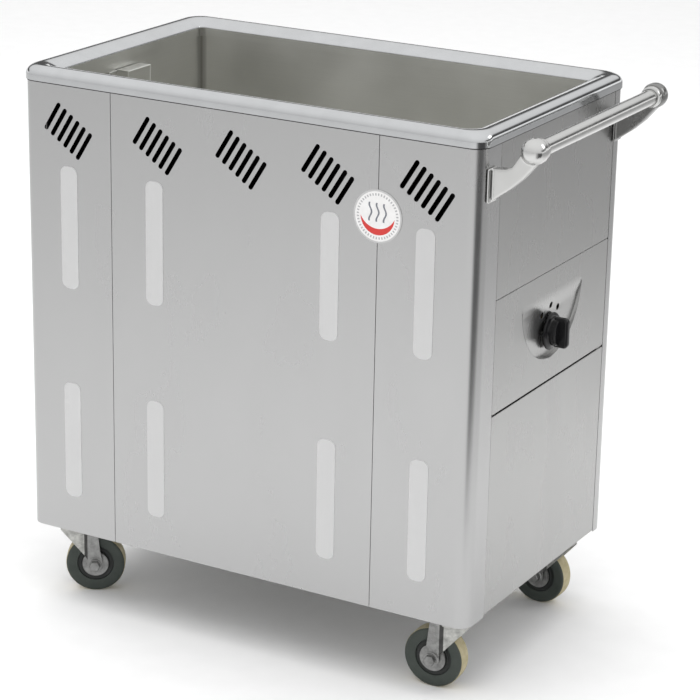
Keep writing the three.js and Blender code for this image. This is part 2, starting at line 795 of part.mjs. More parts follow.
// ---------- assembly ----------
function skins() {
  const group = new THREE.Group();
  const upperLow = CONTROL_HIGH + SEAM;
  const frontWrap = SEAM_FRONT_Y - SEAM + HALF_DEPTH;
  const rearWrap = HALF_DEPTH - REAR_WRAP_START;
  const rear = new THREE.Group();
  rear.rotation.z = Math.PI;
  rear.add(
    piece("rear_center_panel", centrePanel(), "steel"),
    piece("rear_right_panel", cornerPanel(-1, rearWrap), "steel"),
    piece("rear_left_panel", cornerPanel(1, rearWrap), "steel"),
  );
  group.add(
    rear,
    piece("front_center_panel", centrePanel(), "steel"),
    piece("front_right_panel", cornerPanel(1, frontWrap), "steel"),
    piece("front_left_panel", cornerPanel(-1, frontWrap), "steel"),
    piece("left_end_panel", toGeometry(toSolid(leftEndPanel())), "steel"),
    piece("right_upper_panel", endPanel(upperLow, SKIN_TOP, upperLow, HEM_HIGH), "steel"),
    piece("control_panel", controlPanel(), "steel"),
  );
  return group;
}

function frameAndWell() {
  const group = new THREE.Group();
  for (const [end, sideX] of [["left", -1], ["right", 1]]) {
    group.add(
      piece("corner_post_front_" + end, cornerPost(sideX, -1), "zinc"),
      piece("corner_post_rear_" + end, cornerPost(sideX, 1), "zinc"),
    );
  }
  group.add(
    piece("base_pan", basePan(), "zinc"),
    piece("heat_tray", heatTray(), "zinc"),
    piece("top_rim", topRim(), "polished"),
    piece("well_tank", wellTank(), "well"),
    piece("overflow_guard", overflowGuard(), "well"),
    piece("label_disc", labelDisc(), "label"),
  );
  return group;
}

function gasGear() {
  const group = new THREE.Group();
  group.add(
    piece("burner_front", burner(-BURNER_Y), "iron"),
    piece("burner_rear", burner(BURNER_Y), "iron"),
    piece("burner_crossbar_left", burnerCrossbar(-200), "zinc"),
    piece("burner_crossbar_right", burnerCrossbar(200), "zinc"),
    piece("gas_manifold", gasManifold(), "brass"),
    piece("gas_valve", gasValve(), "brass"),
    piece("valve_stem", rod("x", STEM_R, STEM_X[0], STEM_X[1], KNOB_Y, KNOB_Z, 16), "zinc"),
    piece("control_knob", controlKnob(), "knob"),
    piece("gas_supply_pipe", gasSupplyPipe(), "brass"),
  );
  return group;
}

function doorGear() {
  const group = new THREE.Group();
  const upper = DOOR_HIGH + 0.5;
  group.add(
    piece("access_door", accessDoor(), "steel"),
    piece("door_hinge_upper", upperPivot(upper, 302), "zinc"),
    piece("door_hinge_lower", lowerPivot(44), "zinc"),
    piece("door_knuckle_upper", doorKnuckle(304, DOOR_HIGH - SHEET - GAP), "zinc"),
    piece("door_knuckle_lower", doorKnuckle(HEM_LOW - 1 + SHEET + GAP, 42), "zinc"),
    piece("door_catch", doorCatch(), "core"),
  );
  return group;
}

function drainGear() {
  const group = new THREE.Group();
  group.add(
    piece("drain_pipe", drainPipe(), "zinc"),
    piece("drain_valve", drainValve(), "brass"),
    piece("drain_lever", drainLever(), "steel"),
  );
  return group;
}

function handle() {
  const group = new THREE.Group();
  group.add(
    piece("handle_tube", handleTube(), "polished"),
    piece("handle_bracket_front", handleBracket(-1), "polished"),
    piece("handle_bracket_rear", handleBracket(1), "polished"),
  );
  return group;
}

// heading is the direction, in degrees about Z, in which the wheel trails.
function caster(place, sideX, sideY, heading) {
  const group = new THREE.Group();
  group.position.set(sideX * SWIVEL_X, sideY * SWIVEL_Y, 0);
  const swivelling = new THREE.Group();
  swivelling.rotation.z = THREE.MathUtils.degToRad(heading);
  swivelling.add(
    piece("caster_fork_" + place, casterFork(), "zinc"),
    piece("axle_bolt_" + place, axleBolt(), "zinc"),
    piece("tyre_" + place, tyre(), "rubber"),
    piece("wheel_hub_" + place, hub(), "zinc"),
  );
  group.add(piece("caster_plate_" + place, casterPlate(), "zinc"), swivelling);
  return group;
}

const steamTable = new THREE.Group();
steamTable.position.set(-CENTRE_X, 0, CABINET_HEIGHT);
steamTable.add(
  skins(),
  frameAndWell(),
  gasGear(),
  doorGear(),
  drainGear(),
  handle(),
  caster("front_right", 1, -1, 183.7),
  caster("rear_right", 1, 1, 178),
  caster("front_left", -1, -1, 30.5),
  caster("rear_left", -1, 1, 20),
);

const root = new THREE.Group();
root.name = "steam_table_unit";
root.add(steamTable);
export default root;
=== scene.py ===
import json
import math

import bmesh
import bpy
from mathutils import Matrix, Vector
from mathutils.geometry import tessellate_polygon


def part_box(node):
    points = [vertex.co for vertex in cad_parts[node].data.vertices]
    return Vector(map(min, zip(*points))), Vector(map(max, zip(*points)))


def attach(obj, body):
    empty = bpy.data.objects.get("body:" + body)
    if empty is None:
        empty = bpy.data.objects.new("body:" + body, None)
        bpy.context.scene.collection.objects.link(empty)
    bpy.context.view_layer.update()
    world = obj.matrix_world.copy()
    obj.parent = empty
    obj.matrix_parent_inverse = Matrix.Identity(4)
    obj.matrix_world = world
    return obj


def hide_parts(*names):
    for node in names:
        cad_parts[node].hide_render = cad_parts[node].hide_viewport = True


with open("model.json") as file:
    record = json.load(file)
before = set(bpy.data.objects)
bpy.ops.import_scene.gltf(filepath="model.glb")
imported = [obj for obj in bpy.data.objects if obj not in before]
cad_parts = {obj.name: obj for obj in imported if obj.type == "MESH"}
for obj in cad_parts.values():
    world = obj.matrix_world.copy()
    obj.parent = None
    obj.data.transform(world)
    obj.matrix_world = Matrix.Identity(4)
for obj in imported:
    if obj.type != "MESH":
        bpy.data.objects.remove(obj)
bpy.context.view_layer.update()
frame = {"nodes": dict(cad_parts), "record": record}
joints = {j["name"]: j for j in frame["record"]["behaviour"]["joints"]}

# ---------- places worked out from the frame ----------
# Shapes are drawn in millimetres round the cabinet's centre, with Z = 0 at its lower edge.
MM = 0.001
rim_low, rim_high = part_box("top_rim")
ORIGIN = Vector(((rim_low.x + rim_high.x) / 2, 0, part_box("base_pan")[0].z))
TO_FRAME = Matrix.Translation(ORIGIN) @ Matrix.Scale(MM, 4)


def local(point):
    """A frame position in the cabinet's millimetres."""
    return (Vector(point) - ORIGIN) / MM


def local_box(node):
    low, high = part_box(node)
    return local(low), local(high)


HALF_L = local_box("access_door")[1].x
RIM_X, RIM_Y, RIM_TOP = local(rim_high)
OVERHANG = RIM_X - HALF_L
HALF_D = RIM_Y - OVERHANG
SKIN_TOP = local_box("left_end_panel")[1].z
SHEET = 1.5  # thickness of the cabinet's skins
SEAM = 0.4  # half of the gap between two skins
SEAM_X = local_box("front_center_panel")[1].x + SEAM
CORNER_R = 23  # outer bend radius of the cabinet's corners
END_FRONT, END_REAR = (corner.y for corner in local_box("access_door"))


# ---------- mesh helpers ----------
def arc(cx, cy, radius, start, end, steps):
    """Points on an arc, angles in degrees."""
    angles = [math.radians(start + (end - start) * i / steps) for i in range(steps + 1)]
    return [(cx + radius * math.cos(a), cy + radius * math.sin(a)) for a in angles]


def circle(cx, cy, radius, points):
    return arc(cx, cy, radius, 0, 360 - 360 / points, points - 1)


def rounded_rectangle(x0, x1, y0, y1, radius, steps=8):
    return [
        *arc(x1 - radius, y1 - radius, radius, 0, 90, steps),
        *arc(x0 + radius, y1 - radius, radius, 90, 180, steps),
        *arc(x0 + radius, y0 + radius, radius, 180, 270, steps),
        *arc(x1 - radius, y0 + radius, radius, 270, 360, steps),
    ]


def slot_outline(cx, cy, length, width, angle):
    """A slot with round ends; angle in degrees from the first axis."""
    reach = (length - width) / 2
    dx, dy = reach * math.cos(math.radians(angle)), reach * math.sin(math.radians(angle))
    return [
        *arc(cx + dx, cy + dy, width / 2, angle - 90, angle + 90, 10),
        *arc(cx - dx, cy - dy, width / 2, angle + 90, angle + 270, 10),
    ]


def loft(rings, close=False):
    """A mesh through rings of equally many points: capped, or closed from the last to the first."""
    bm = bmesh.new()
    rows = [[bm.verts.new(p) for p in ring] for ring in rings]
    pairs = list(zip(rows, rows[1:]))
    if close:
        pairs.append((rows[-1], rows[0]))
    for low, high in pairs:
        for i in range(len(low)):
            j = (i + 1) % len(low)
            bm.faces.new((low[i], low[j], high[j], high[i]))
    if not close:
        bm.faces.new(rows[0][::-1])
        bm.faces.new(rows[-1])
    bmesh.ops.remove_doubles(bm, verts=bm.verts, dist=1e-5)
    bmesh.ops.recalc_face_normals(bm, faces=bm.faces)
    return bm


AXES = {
    "x": lambda r, s, h: (h, r * math.cos(s), r * math.sin(s)),
    "y": lambda r, s, h: (r * math.sin(s), h, r * math.cos(s)),
    "z": lambda r, s, h: (r * math.cos(s), r * math.sin(s), h),
}


def turned(profile, axis, steps=64, close=False):
    """A turned solid from (radius, height) pairs along an axis."""
    place = AXES[axis]
    turns = [2 * math.pi * i / steps for i in range(steps)]
    rings = [[place(max(r, 1e-4), s, h) for s in turns] for r, h in profile]
    return loft(rings, close)


def plate(loops, thickness, edge, segments=2):
    """A flat plate from an outline and holes, with rounded edges, centred on its own plane."""
    curve = bpy.data.curves.new("plate", "CURVE")
    curve.dimensions, curve.fill_mode = "2D", "BOTH"
    curve.extrude = thickness / 2 - edge
    curve.bevel_depth, curve.bevel_resolution = edge, segments
    curve.offset = -edge
    for i, loop in enumerate(loops):
        area = sum(a[0] * b[1] - b[0] * a[1] for a, b in zip(loop, loop[1:] + loop[:1]))
        points = loop if (area > 0) == (i == 0) else loop[::-1]
        spline = curve.splines.new("POLY")
        spline.points.add(len(points) - 1)
        for point, (x, y) in zip(spline.points, points):
            point.co = (x, y, 0, 1)
        spline.use_cyclic_u = True
    holder = bpy.data.objects.new("plate", curve)
    bpy.context.scene.collection.objects.link(holder)
    bpy.context.view_layer.update()
    flat = bpy.data.meshes.new_from_object(
        holder.evaluated_get(bpy.context.evaluated_depsgraph_get()))
    bm = bmesh.new()
    bm.from_mesh(flat)
    bpy.data.objects.remove(holder)
    bpy.data.curves.remove(curve)
    bpy.data.meshes.remove(flat)
    bmesh.ops.remove_doubles(bm, verts=bm.verts, dist=1e-3)
    bmesh.ops.recalc_face_normals(bm, faces=bm.faces)
    return bm


STAND = {  # turns a plate's plane to face along an axis: (u, v, w) to (x, y, z)
    "x": Matrix(((0, 0, 1, 0), (1, 0, 0, 0), (0, 1, 0, 0), (0, 0, 0, 1))),
    "y": Matrix(((1, 0, 0, 0), (0, 0, -1, 0), (0, 1, 0, 0), (0, 0, 0, 1))),
    "z": Matrix.Identity(4),
}


def standing(bm, axis, at):
    """Stands a plate across an axis, with its middle plane at a place on it."""
    shift = {"x": (at, 0, 0), "y": (0, at, 0), "z": (0, 0, at)}[axis]
    bm.transform(Matrix.Translation(shift) @ STAND[axis])
    return bm


def cut_across(bm, x):
    """Cuts a mesh with a plane across X, so that it can bend there."""
    bmesh.ops.bisect_plane(
        bm, geom=bm.verts[:] + bm.edges[:] + bm.faces[:], dist=1e-4,
        plane_co=(x, 0, 0), plane_no=(1, 0, 0))


def merged(*parts):
    """One mesh that holds several separate shells."""
    whole = bmesh.new()
    for part in parts:
        mesh = bpy.data.meshes.new("part")
        part.to_mesh(mesh)
        part.free()
        whole.from_mesh(mesh)
        bpy.data.meshes.remove(mesh)
    return whole


def solid_of(bm, voxel, smooth):
    """Melts overlapping shells into one cast or pressed form with soft edges."""
    mesh = bpy.data.meshes.new("melt")
    bm.to_mesh(mesh)
    bm.free()
    holder = bpy.data.objects.new("melt", mesh)
    bpy.context.scene.collection.objects.link(holder)
    remesh = holder.modifiers.new("remesh", "REMESH")
    remesh.mode, remesh.voxel_size = "VOXEL", voxel
    relax = holder.modifiers.new("relax", "SMOOTH")
    relax.factor, relax.iterations = 0.5, smooth
    bpy.context.view_layer.update()
    made = bpy.data.meshes.new_from_object(
        holder.evaluated_get(bpy.context.evaluated_depsgraph_get()))
    result = bmesh.new()
    result.from_mesh(made)
    bpy.data.objects.remove(holder)
    bpy.data.meshes.remove(mesh)
    bpy.data.meshes.remove(made)
    return result


def add_piece(name, bm, looks, body, replaces=(), angle=35, place=TO_FRAME, weigh=True):
    """Puts a mesh drawn in millimetres into the scene as a piece that rides on a body."""
    bm.transform(place)
    mesh = bpy.data.meshes.new(name)
    bm.to_mesh(mesh)
    bm.free()
    for look in looks if isinstance(looks, (list, tuple)) else [looks]:
        mesh.materials.append(look)
    mesh.shade_smooth()
    mesh.set_sharp_from_angle(angle=math.radians(angle))
    piece = bpy.data.objects.new(name, mesh)
    bpy.context.scene.collection.objects.link(piece)
    if weigh:
        normals = piece.modifiers.new("normals", "WEIGHTED_NORMAL")
        normals.keep_sharp = True
    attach(piece, body)
    if replaces:
        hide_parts(*replaces)
    return piece


# ---------- materials ----------
class Graph:
    """A node tree with short calls for the nodes used here."""

    def __init__(self, tree, coordinate):
        self.tree = tree
        self.place = tree.nodes.new("ShaderNodeTexCoord").outputs[coordinate]

    def link(self, source, target):
        self.tree.links.new(source, target)

    def noise(self, scale, detail=2, stretch=(1, 1, 1), roughness=0.5):
        mapping = self.tree.nodes.new("ShaderNodeMapping")
        mapping.inputs["Scale"].default_value = stretch
        self.link(self.place, mapping.inputs["Vector"])
        node = self.tree.nodes.new("ShaderNodeTexNoise")
        node.inputs["Scale"].default_value = scale
        node.inputs["Detail"].default_value = detail
        node.inputs["Roughness"].default_value = roughness
        self.link(mapping.outputs["Vector"], node.inputs["Vector"])
        return node.outputs["Fac"]

    def spread(self, source, low, high, from_low=0.3, from_high=0.7):
        node = self.tree.nodes.new("ShaderNodeMapRange")
        node.inputs["From Min"].default_value = from_low
        node.inputs["From Max"].default_value = from_high
        node.inputs["To Min"].default_value = low
        node.inputs["To Max"].default_value = high
        self.link(source, node.inputs["Value"])
        return node.outputs["Result"]

    def math(self, operation, first, second=None):
        node = self.tree.nodes.new("ShaderNodeMath")
        node.operation = operation
        for socket, value in zip(node.inputs, (first, second)):
            if value is None:
                continue
            if isinstance(value, (int, float)):
                socket.default_value = value
            else:
                self.link(value, socket)
        return node.outputs[0]

    def mix(self, factor, first, second):
        node = self.tree.nodes.new("ShaderNodeMix")
        node.data_type = "RGBA"
        sockets = (node.inputs[0], node.inputs[6], node.inputs[7])
        for socket, value in zip(sockets, (factor, first, second)):
            if isinstance(value, (int, float)):
                socket.default_value = value
            elif isinstance(value, (tuple, list)):
                socket.default_value = (*value, 1)
            else:
                self.link(value, socket)
        return node.outputs[2]

    def axes(self):
        node = self.tree.nodes.new("ShaderNodeSeparateXYZ")
        self.link(self.place, node.inputs[0])
        return node.outputs["X"], node.outputs["Y"], node.outputs["Z"]

    def ramp(self, source, stops):
        """Grey levels over a source that runs from 0 to 1."""
        node = self.tree.nodes.new("ShaderNodeValToRGB")
        marks = node.color_ramp.elements
        while len(marks) < len(stops):
            marks.new(0.5)
        for mark, (position, level) in zip(marks, stops):
            mark.position = position
            mark.color = (level, level, level, 1)
        self.link(source, node.inputs[0])
        return node.outputs["Color"]


class Look(Graph):
    """A node material under construction."""

    def __init__(self, name):
        self.material = bpy.data.materials.new(name)
        self.material.use_nodes = True
        super().__init__(self.material.node_tree, "Object")
        self.shader = self.tree.nodes["Principled BSDF"]

    def bump(self, height, strength, distance):
        node = self.tree.nodes.new("ShaderNodeBump")
        node.inputs["Strength"].default_value = strength
        node.inputs["Distance"].default_value = distance
        self.link(height, node.inputs["Height"])
        self.link(node.outputs["Normal"], self.shader.inputs["Normal"])

    def done(self, color, roughness, metallic=0.0):
        for name, value in (("Base Color", color), ("Roughness", roughness)):
            if isinstance(value, (int, float)):
                self.shader.inputs[name].default_value = value
            else:
                self.link(value, self.shader.inputs[name])
        self.shader.inputs["Metallic"].default_value = metallic
        return self.material


def shade(color, factor):
    return tuple(min(1.0, c * factor) for c in color)


GRAIN_ACROSS, GRAIN_ALONG = 900, 9  # noise cells per metre, across the brushing and along it


def brushed(name, color, rough, grain_depth=0.002, contrast=0.008):
    """Sheet steel with a fine upright grain, soft clouding and faint smears."""
    look = Look(name)
    lines = look.noise(1.0, 3, (GRAIN_ACROSS, GRAIN_ACROSS, GRAIN_ALONG), 0.6)
    clouds = look.noise(3.5, 2)
    smears = look.noise(14, 4, (1, 1, 0.4))
    tone = look.math("ADD", look.spread(lines, 0.35, 0.65), look.spread(clouds, -0.15, 0.15))
    mixed = look.mix(tone, shade(color, 1 - contrast), shade(color, 1 + contrast))
    gloss = look.math(
        "ADD", look.spread(smears, rough - 0.03, rough + 0.04), look.spread(lines, -0.002, 0.002))
    look.bump(lines, grain_depth, 0.0001)
    return look.done(mixed, gloss, 1.0)


def tank_steel(color, rough):
    """Bright steel inside the well, its upright corners painted darker as shade; its hidden outer side is
    painted near-black as the shade inside the cabinet.
    """
    look = Look("well_steel")
    low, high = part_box("well_tank")
    middle, half = (low + high) / 2, (high - low) / 2
    across, along, up = look.axes()
    skin = 0.8 * MM
    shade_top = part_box("overflow_guard")[0].z - 39.3 * MM  # all of the tank below this is painted near-black as shade
    tests = [
        look.math("GREATER_THAN", across, high.x - skin),
        look.math("LESS_THAN", across, low.x + skin),
        look.math("GREATER_THAN", along, high.y - skin),
        look.math("LESS_THAN", along, low.y + skin),
        look.math("LESS_THAN", up, shade_top),
    ]
    outside = tests[0]
    for test in tests[1:]:
        outside = look.math("MAXIMUM", outside, test)
    lines = look.noise(1.0, 3, (GRAIN_ALONG, GRAIN_ALONG, GRAIN_ACROSS), 0.6)
    clouds = look.noise(5, 3)
    tone = look.math("ADD", look.spread(lines, 0.4, 0.6), look.spread(clouds, -0.4, 0.4))
    steel = look.mix(tone, shade(color, 0.9), shade(color, 1.08))
    # Painted shade: the steel darkens to a dark brown-grey towards the tank's upright corners.
    corner_shade_starts, corner_shade_ends = 14 * MM, 4 * MM  # measured in from the tank's walls
    near = []
    for place, centre, reach in ((across, middle.x, half.x), (along, middle.y, half.y)):
        away = look.math("ABSOLUTE", look.math("SUBTRACT", place, centre))
        near.append(look.spread(away, 0.0, 1.0, reach - corner_shade_starts, reach - corner_shade_ends))
    steel = look.mix(look.math("MULTIPLY", *near), steel, (0.13, 0.125, 0.11))
    look.bump(lines, 0.05, 0.0002)
    # Painted shade: the tank's outside and its low part are near-black, for the dark inside of the cabinet.
    shaded_steel = look.mix(outside, steel, (0.008, 0.008, 0.008))
    return look.done(shaded_steel, look.spread(clouds, rough, rough + 0.1), 1.0)


def polished(name, color, rough):
    """Buffed steel: nearly mirror bright, with faint polishing haze and ripple."""
    look = Look(name)
    haze = look.noise(35, 3)
    ripple = look.noise(60, 2)
    mixed = look.mix(look.spread(haze, 0.0, 1.0), shade(color, 0.97), shade(color, 1.03))
    look.bump(ripple, 0.05, 0.0004)
    return look.done(mixed, look.spread(haze, rough * 0.8, rough * 1.3), 1.0)


def zinc(name, color, rough, contrast=0.12):
    """Plated or cast metal: blotchy, with a fine spangle."""
    look = Look(name)
    blotch = look.noise(90, 4, roughness=0.65)
    grain = look.noise(700, 2)
    dark, pale = shade(color, 1 - contrast), shade(color, 1 + contrast)
    mixed = look.mix(look.spread(blotch, 0.0, 1.0), dark, pale)
    look.bump(grain, 0.08, 0.0003)
    return look.done(mixed, look.spread(blotch, rough - 0.07, rough + 0.08), 1.0)


def moulded(name, color, rough, grain=500, depth=0.15, tint=None):
    """Rubber or plastic with a fine moulded grain and scuffs."""
    look = Look(name)
    skin = look.noise(grain, 3)
    scuffs = look.noise(45, 5, roughness=0.7)
    mixed = look.mix(look.spread(scuffs, 0.0, 1.0), color, tint or shade(color, 1.35))
    look.bump(skin, depth, 0.0004)
    return look.done(mixed, look.spread(scuffs, rough - 0.06, rough + 0.08))


STEEL = (0.515, 0.515, 0.515)
LOOKS = {
    "panel": brushed("panel_steel", STEEL, 0.25),
    "rib": brushed("rib_satin", (0.74, 0.74, 0.74), 0.62, 0.05, 0.02),
    "end": brushed("end_steel", (0.48, 0.48, 0.475), 0.27),
    # Darker steel for the scoop's lower walls: painted shade.
    "wall": brushed("scoop_wall_painted_shade", (0.33, 0.33, 0.325), 0.25),
    # Near-black steel for lines of painted shade: the scoop's mouth and the bead under the rim.
    "shade_line": brushed("dark_line_painted_shade", (0.06, 0.06, 0.06), 0.4),
    "rim": polished("rim_polished", (0.62, 0.63, 0.64), 0.1),
    "well": tank_steel((0.70, 0.70, 0.67), 0.36),
    # Near-white steel for thin bars on the guard's edges: painted highlights.
    "edge_highlight": brushed("edge_painted_highlight", (0.93, 0.93, 0.91), 0.45),
    # Darker polished steel for the rear bracket: painted shade.
    "chrome_rear_shaded": polished("bracket_rear_painted_shade", (0.30, 0.30, 0.295), 0.24),
    "chrome": polished("handle_polished", (0.66, 0.66, 0.65), 0.17),
    "zinc": zinc("zinc_plate", (0.30, 0.30, 0.295), 0.38, 0.32),
    # Paler zinc for the fork's web slope: painted light, a lit copy of the zinc.
    "zinc_web_painted_light": zinc("zinc_web_painted_light", (0.45, 0.45, 0.43), 0.36, 0.4),
    # Near-black zinc for the fork's fold step: painted shade.
    "zinc_fold_painted_shade": zinc("zinc_fold_painted_shade", (0.08, 0.08, 0.078), 0.45, 0.3),
    "frame": zinc("frame_zinc", (0.44, 0.44, 0.43), 0.5),
    "iron": moulded("burner_iron", (0.05, 0.047, 0.043), 0.6, 300, 0.4),
    "brass": zinc("valve_brass", (0.62, 0.45, 0.20), 0.32),
    "rubber": moulded("tyre_rubber", (0.029, 0.038, 0.032), 0.55, 420, 0.2, (0.050, 0.061, 0.052)),
    "tread": moulded("tread_worn", (0.34, 0.29, 0.15), 0.6, 420, 0.25, (0.56, 0.50, 0.33)),
    "core": moulded("dark_core", (0.012, 0.014, 0.013), 0.5),
    "knob": moulded("knob_black", (0.004, 0.004, 0.0045), 0.12, 900, 0.02, (0.008, 0.008, 0.009)),
}
LOOKS["knob"].node_tree.nodes["Principled BSDF"].inputs["Specular IOR Level"].default_value = 0.3


# ---------- cabinet skins ----------
BEND_X = HALF_L - CORNER_R
BEND_RUN = CORNER_R * math.pi / 2
BEND_CUTS = 12
VENTS = (-320, -152, 0, 152, 320)
VENT_Z = 681
SLOT_LENGTH, SLOT_WIDTH, SLOT_ANGLE = 53.2, 7.5, 58.2
SLOT_STEP_X, SLOT_STEP_Z = 11.9, -8.2
SKIN_CORNER = 1
SKIN_EDGE = 0.3  # rounding of a skin's cut edges
RIBS = (-320, -158, 158, 320)
RIB_SPANS = ((63, 262), (422, 624))
RIB_HALF, RIB_CORNER = 16.2, 12.5
RIB_THICKNESS, RIB_EDGE = 1.6, 0.75


def vent_slots(low, high):
    """Six slanted louvre slots for each group that lies between two places along the face."""
    return [
        slot_outline(
            x + step * SLOT_STEP_X, VENT_Z + step * SLOT_STEP_Z, SLOT_LENGTH, SLOT_WIDTH, SLOT_ANGLE)
        for x in VENTS if low < x < high
        for step in (-2.5, -1.5, -0.5, 0.5, 1.5, 2.5)
    ]


def rib_pads():
    """Shallow pressed pads with soft ends, standing proud of the front face."""
    outlines = [
        rounded_rectangle(x - RIB_HALF, x + RIB_HALF, z0, z1, RIB_CORNER)
        for x in RIBS
        for z0, z1 in RIB_SPANS
    ]
    pads = [standing(plate([each], RIB_THICKNESS, RIB_EDGE, 3), "y", -HALF_D) for each in outlines]
    return merged(*pads)


def wrap_corner(bm, side):
    """Bends a flat sheet, drawn in (x, z), round the cabinet's corner at the given side."""
    for k in range(BEND_CUTS + 1):
        cut_across(bm, side * (BEND_X + BEND_RUN * k / BEND_CUTS))
    for v in bm.verts:
        run = abs(v.co.x)
        inset = v.co.y + HALF_D
        if run <= BEND_X:
            continue
        if run < BEND_X + BEND_RUN:
            angle = (run - BEND_X) / CORNER_R
            reach = CORNER_R - inset
            v.co.x = side * (BEND_X + reach * math.sin(angle))
            v.co.y = -HALF_D + CORNER_R - reach * math.cos(angle)
        else:
            v.co.x = side * (HALF_L - inset)
            v.co.y = -HALF_D + CORNER_R + run - BEND_X - BEND_RUN
    return bm


def skins(face, turn, wrap):
    """The three skins of the front, or of the rear when turned half way round."""
    place = TO_FRAME @ Matrix.Rotation(turn, 4, "Z")
    middle = -HALF_D + SHEET / 2
    edge = SEAM_X - SEAM
    whole = [rounded_rectangle(-edge, edge, 0, SKIN_TOP, SKIN_CORNER, 2), *vent_slots(-edge, edge)]
    centre = standing(plate(whole, SHEET, SKIN_EDGE), "y", middle)
    name = face + "_center_panel"
    add_piece(name + "_skin", centre, LOOKS["panel"], "cabinet", [name], place=place)
    run_end = BEND_X + BEND_RUN + wrap - CORNER_R
    for side in (-1, 1):
        start = SEAM_X + SEAM
        x0, x1 = sorted((side * start, side * run_end))
        loops = [rounded_rectangle(x0, x1, 0, SKIN_TOP, SKIN_CORNER, 2), *vent_slots(x0, x1)]
        skin = wrap_corner(standing(plate(loops, SHEET, SKIN_EDGE), "y", middle), side)
        hand = "right" if (side > 0) == (turn == 0) else "left"
        name = face + "_" + hand + "_panel"
        add_piece(name + "_skin", skin, LOOKS["panel"], "cabinet", [name], place=place)
    add_piece(
        face + "_pressed_ribs", rib_pads(), LOOKS["rib"], "cabinet", place=place)


# ---------- end panels ----------
PANEL_SHEET, PANEL_DEPTH = 1.1, 9.5
PANEL_FOLD, PANEL_CORNER = 0.8, 3.2
FOLD_STEPS = 4


def folded_rings(z0, z1):
    """Rings of a tray edge: from the flat face round a fold and back into the cabinet."""
    rings = []
    for k in range(FOLD_STEPS + 1):
        angle = math.radians(90 * k / FOLD_STEPS)
        inset = PANEL_FOLD * (1 - math.sin(angle))
        back = PANEL_FOLD * (1 - math.cos(angle))
        loop = rounded_rectangle(
            END_FRONT + inset, END_REAR - inset, z0 + inset, z1 - inset, PANEL_CORNER - inset, 4)
        rings.append([(HALF_L - back, y, z) for y, z in loop])
    loop = rounded_rectangle(END_FRONT, END_REAR, z0, z1, PANEL_CORNER, 4)
    rings.append([(HALF_L - PANEL_DEPTH, y, z) for y, z in loop])
    return rings


def folded_panel(z0, z1, scoop=None):
    """An end panel: a flat face with folded edges, and optionally a scoop pressed into it."""
    bm = bmesh.new()
    rings = folded_rings(z0, z1)
    rows = [[bm.verts.new(p) for p in ring] for ring in rings]
    for outer, inner in zip(rows, rows[1:]):
        for i in range(len(outer)):
            j = (i + 1) % len(outer)
            bm.faces.new((outer[i], inner[i], inner[j], outer[j]))
    loops = [rings[0]]
    verts = list(rows[0])
    if scoop:
        mouth = scoop(bm)
        loops.append([v.co[:] for v in mouth])
        verts += mouth
    flat = [[Vector((y, z, 0)) for _, y, z in loop] for loop in loops]
    for triangle in tessellate_polygon(flat):
        bm.faces.new([verts[i] for i in triangle])
    bmesh.ops.recalc_face_normals(bm, faces=bm.faces)
    return bm


def add_panel(name, bm, body, mirror=False):
    """Puts an end panel in place with its sheet's thickness; mirror moves it to the left end."""
    place = TO_FRAME @ Matrix.Scale(-1, 4, (1, 0, 0)) if mirror else TO_FRAME
    if mirror:
        bmesh.ops.reverse_faces(bm, faces=bm.faces)
    # The second and third steels paint shade in the scoop.
    looks = [LOOKS["end"], LOOKS["wall"], LOOKS["shade_line"]]
    piece = add_piece(name + "_skin", bm, looks, body, [name], place=place)
    shell = piece.modifiers.new("sheet", "SOLIDIFY")
    shell.thickness, shell.offset = PANEL_SHEET * MM, -1
    piece.modifiers.move(1, 0)


# ---------- control scoop ----------
SCOOP_R, SCOOP_CORNER = 107, 9
SCOOP_Y, SCOOP_Z = 11, 475  # middle of the half disc's flat upper side
SCOOP_INSETS = (-1.2, 0, 0.3, 0.7, 1.3, 2, 2.8, 3.6, 4.2, 4.5)
SCOOP_WALL = SCOOP_INSETS[-1]
FLOOR_CUTS = 40
STEM_HOLE, MARK_HOLE = 9, 5.5  # radii
MARK_REACH, MARK_DROP = 43.5, 1.5
knob_low, knob_high = local_box("control_knob")
KNOB_Y = (knob_low.y + knob_high.y) / 2
KNOB_Z = (knob_low.z + knob_high.z) / 2


def share_of(value):
    return max(0.0, min(1.0, value))


def smooth_step(t):
    t = share_of(t)
    return t * t * (3 - 2 * t)


def scoop_floor(z):
    """Depth of the scoop's floor below the panel's face: it rolls in at the top, then slopes."""
    share = share_of((SCOOP_Z - z) / SCOOP_R)
    return 0.05 + (2.6 + 5.0 * share) * smooth_step(share / 0.3)


def half_disc(inset):
    """Half disc outline, flat side up, with rounded upper corners."""
    radius = SCOOP_R - inset
    top = SCOOP_Z - inset
    side = math.degrees(math.asin(SCOOP_CORNER / (radius - SCOOP_CORNER)))
    reach = (radius - SCOOP_CORNER) * math.cos(math.radians(side))
    return [
        *arc(SCOOP_Y - reach, top - SCOOP_CORNER, SCOOP_CORNER, 90, 180 + side, 8),
        *arc(SCOOP_Y, top, radius, 180 + side, 360 - side, 48),
        *arc(SCOOP_Y + reach, top - SCOOP_CORNER, SCOOP_CORNER, -side, 90, 8),
    ]


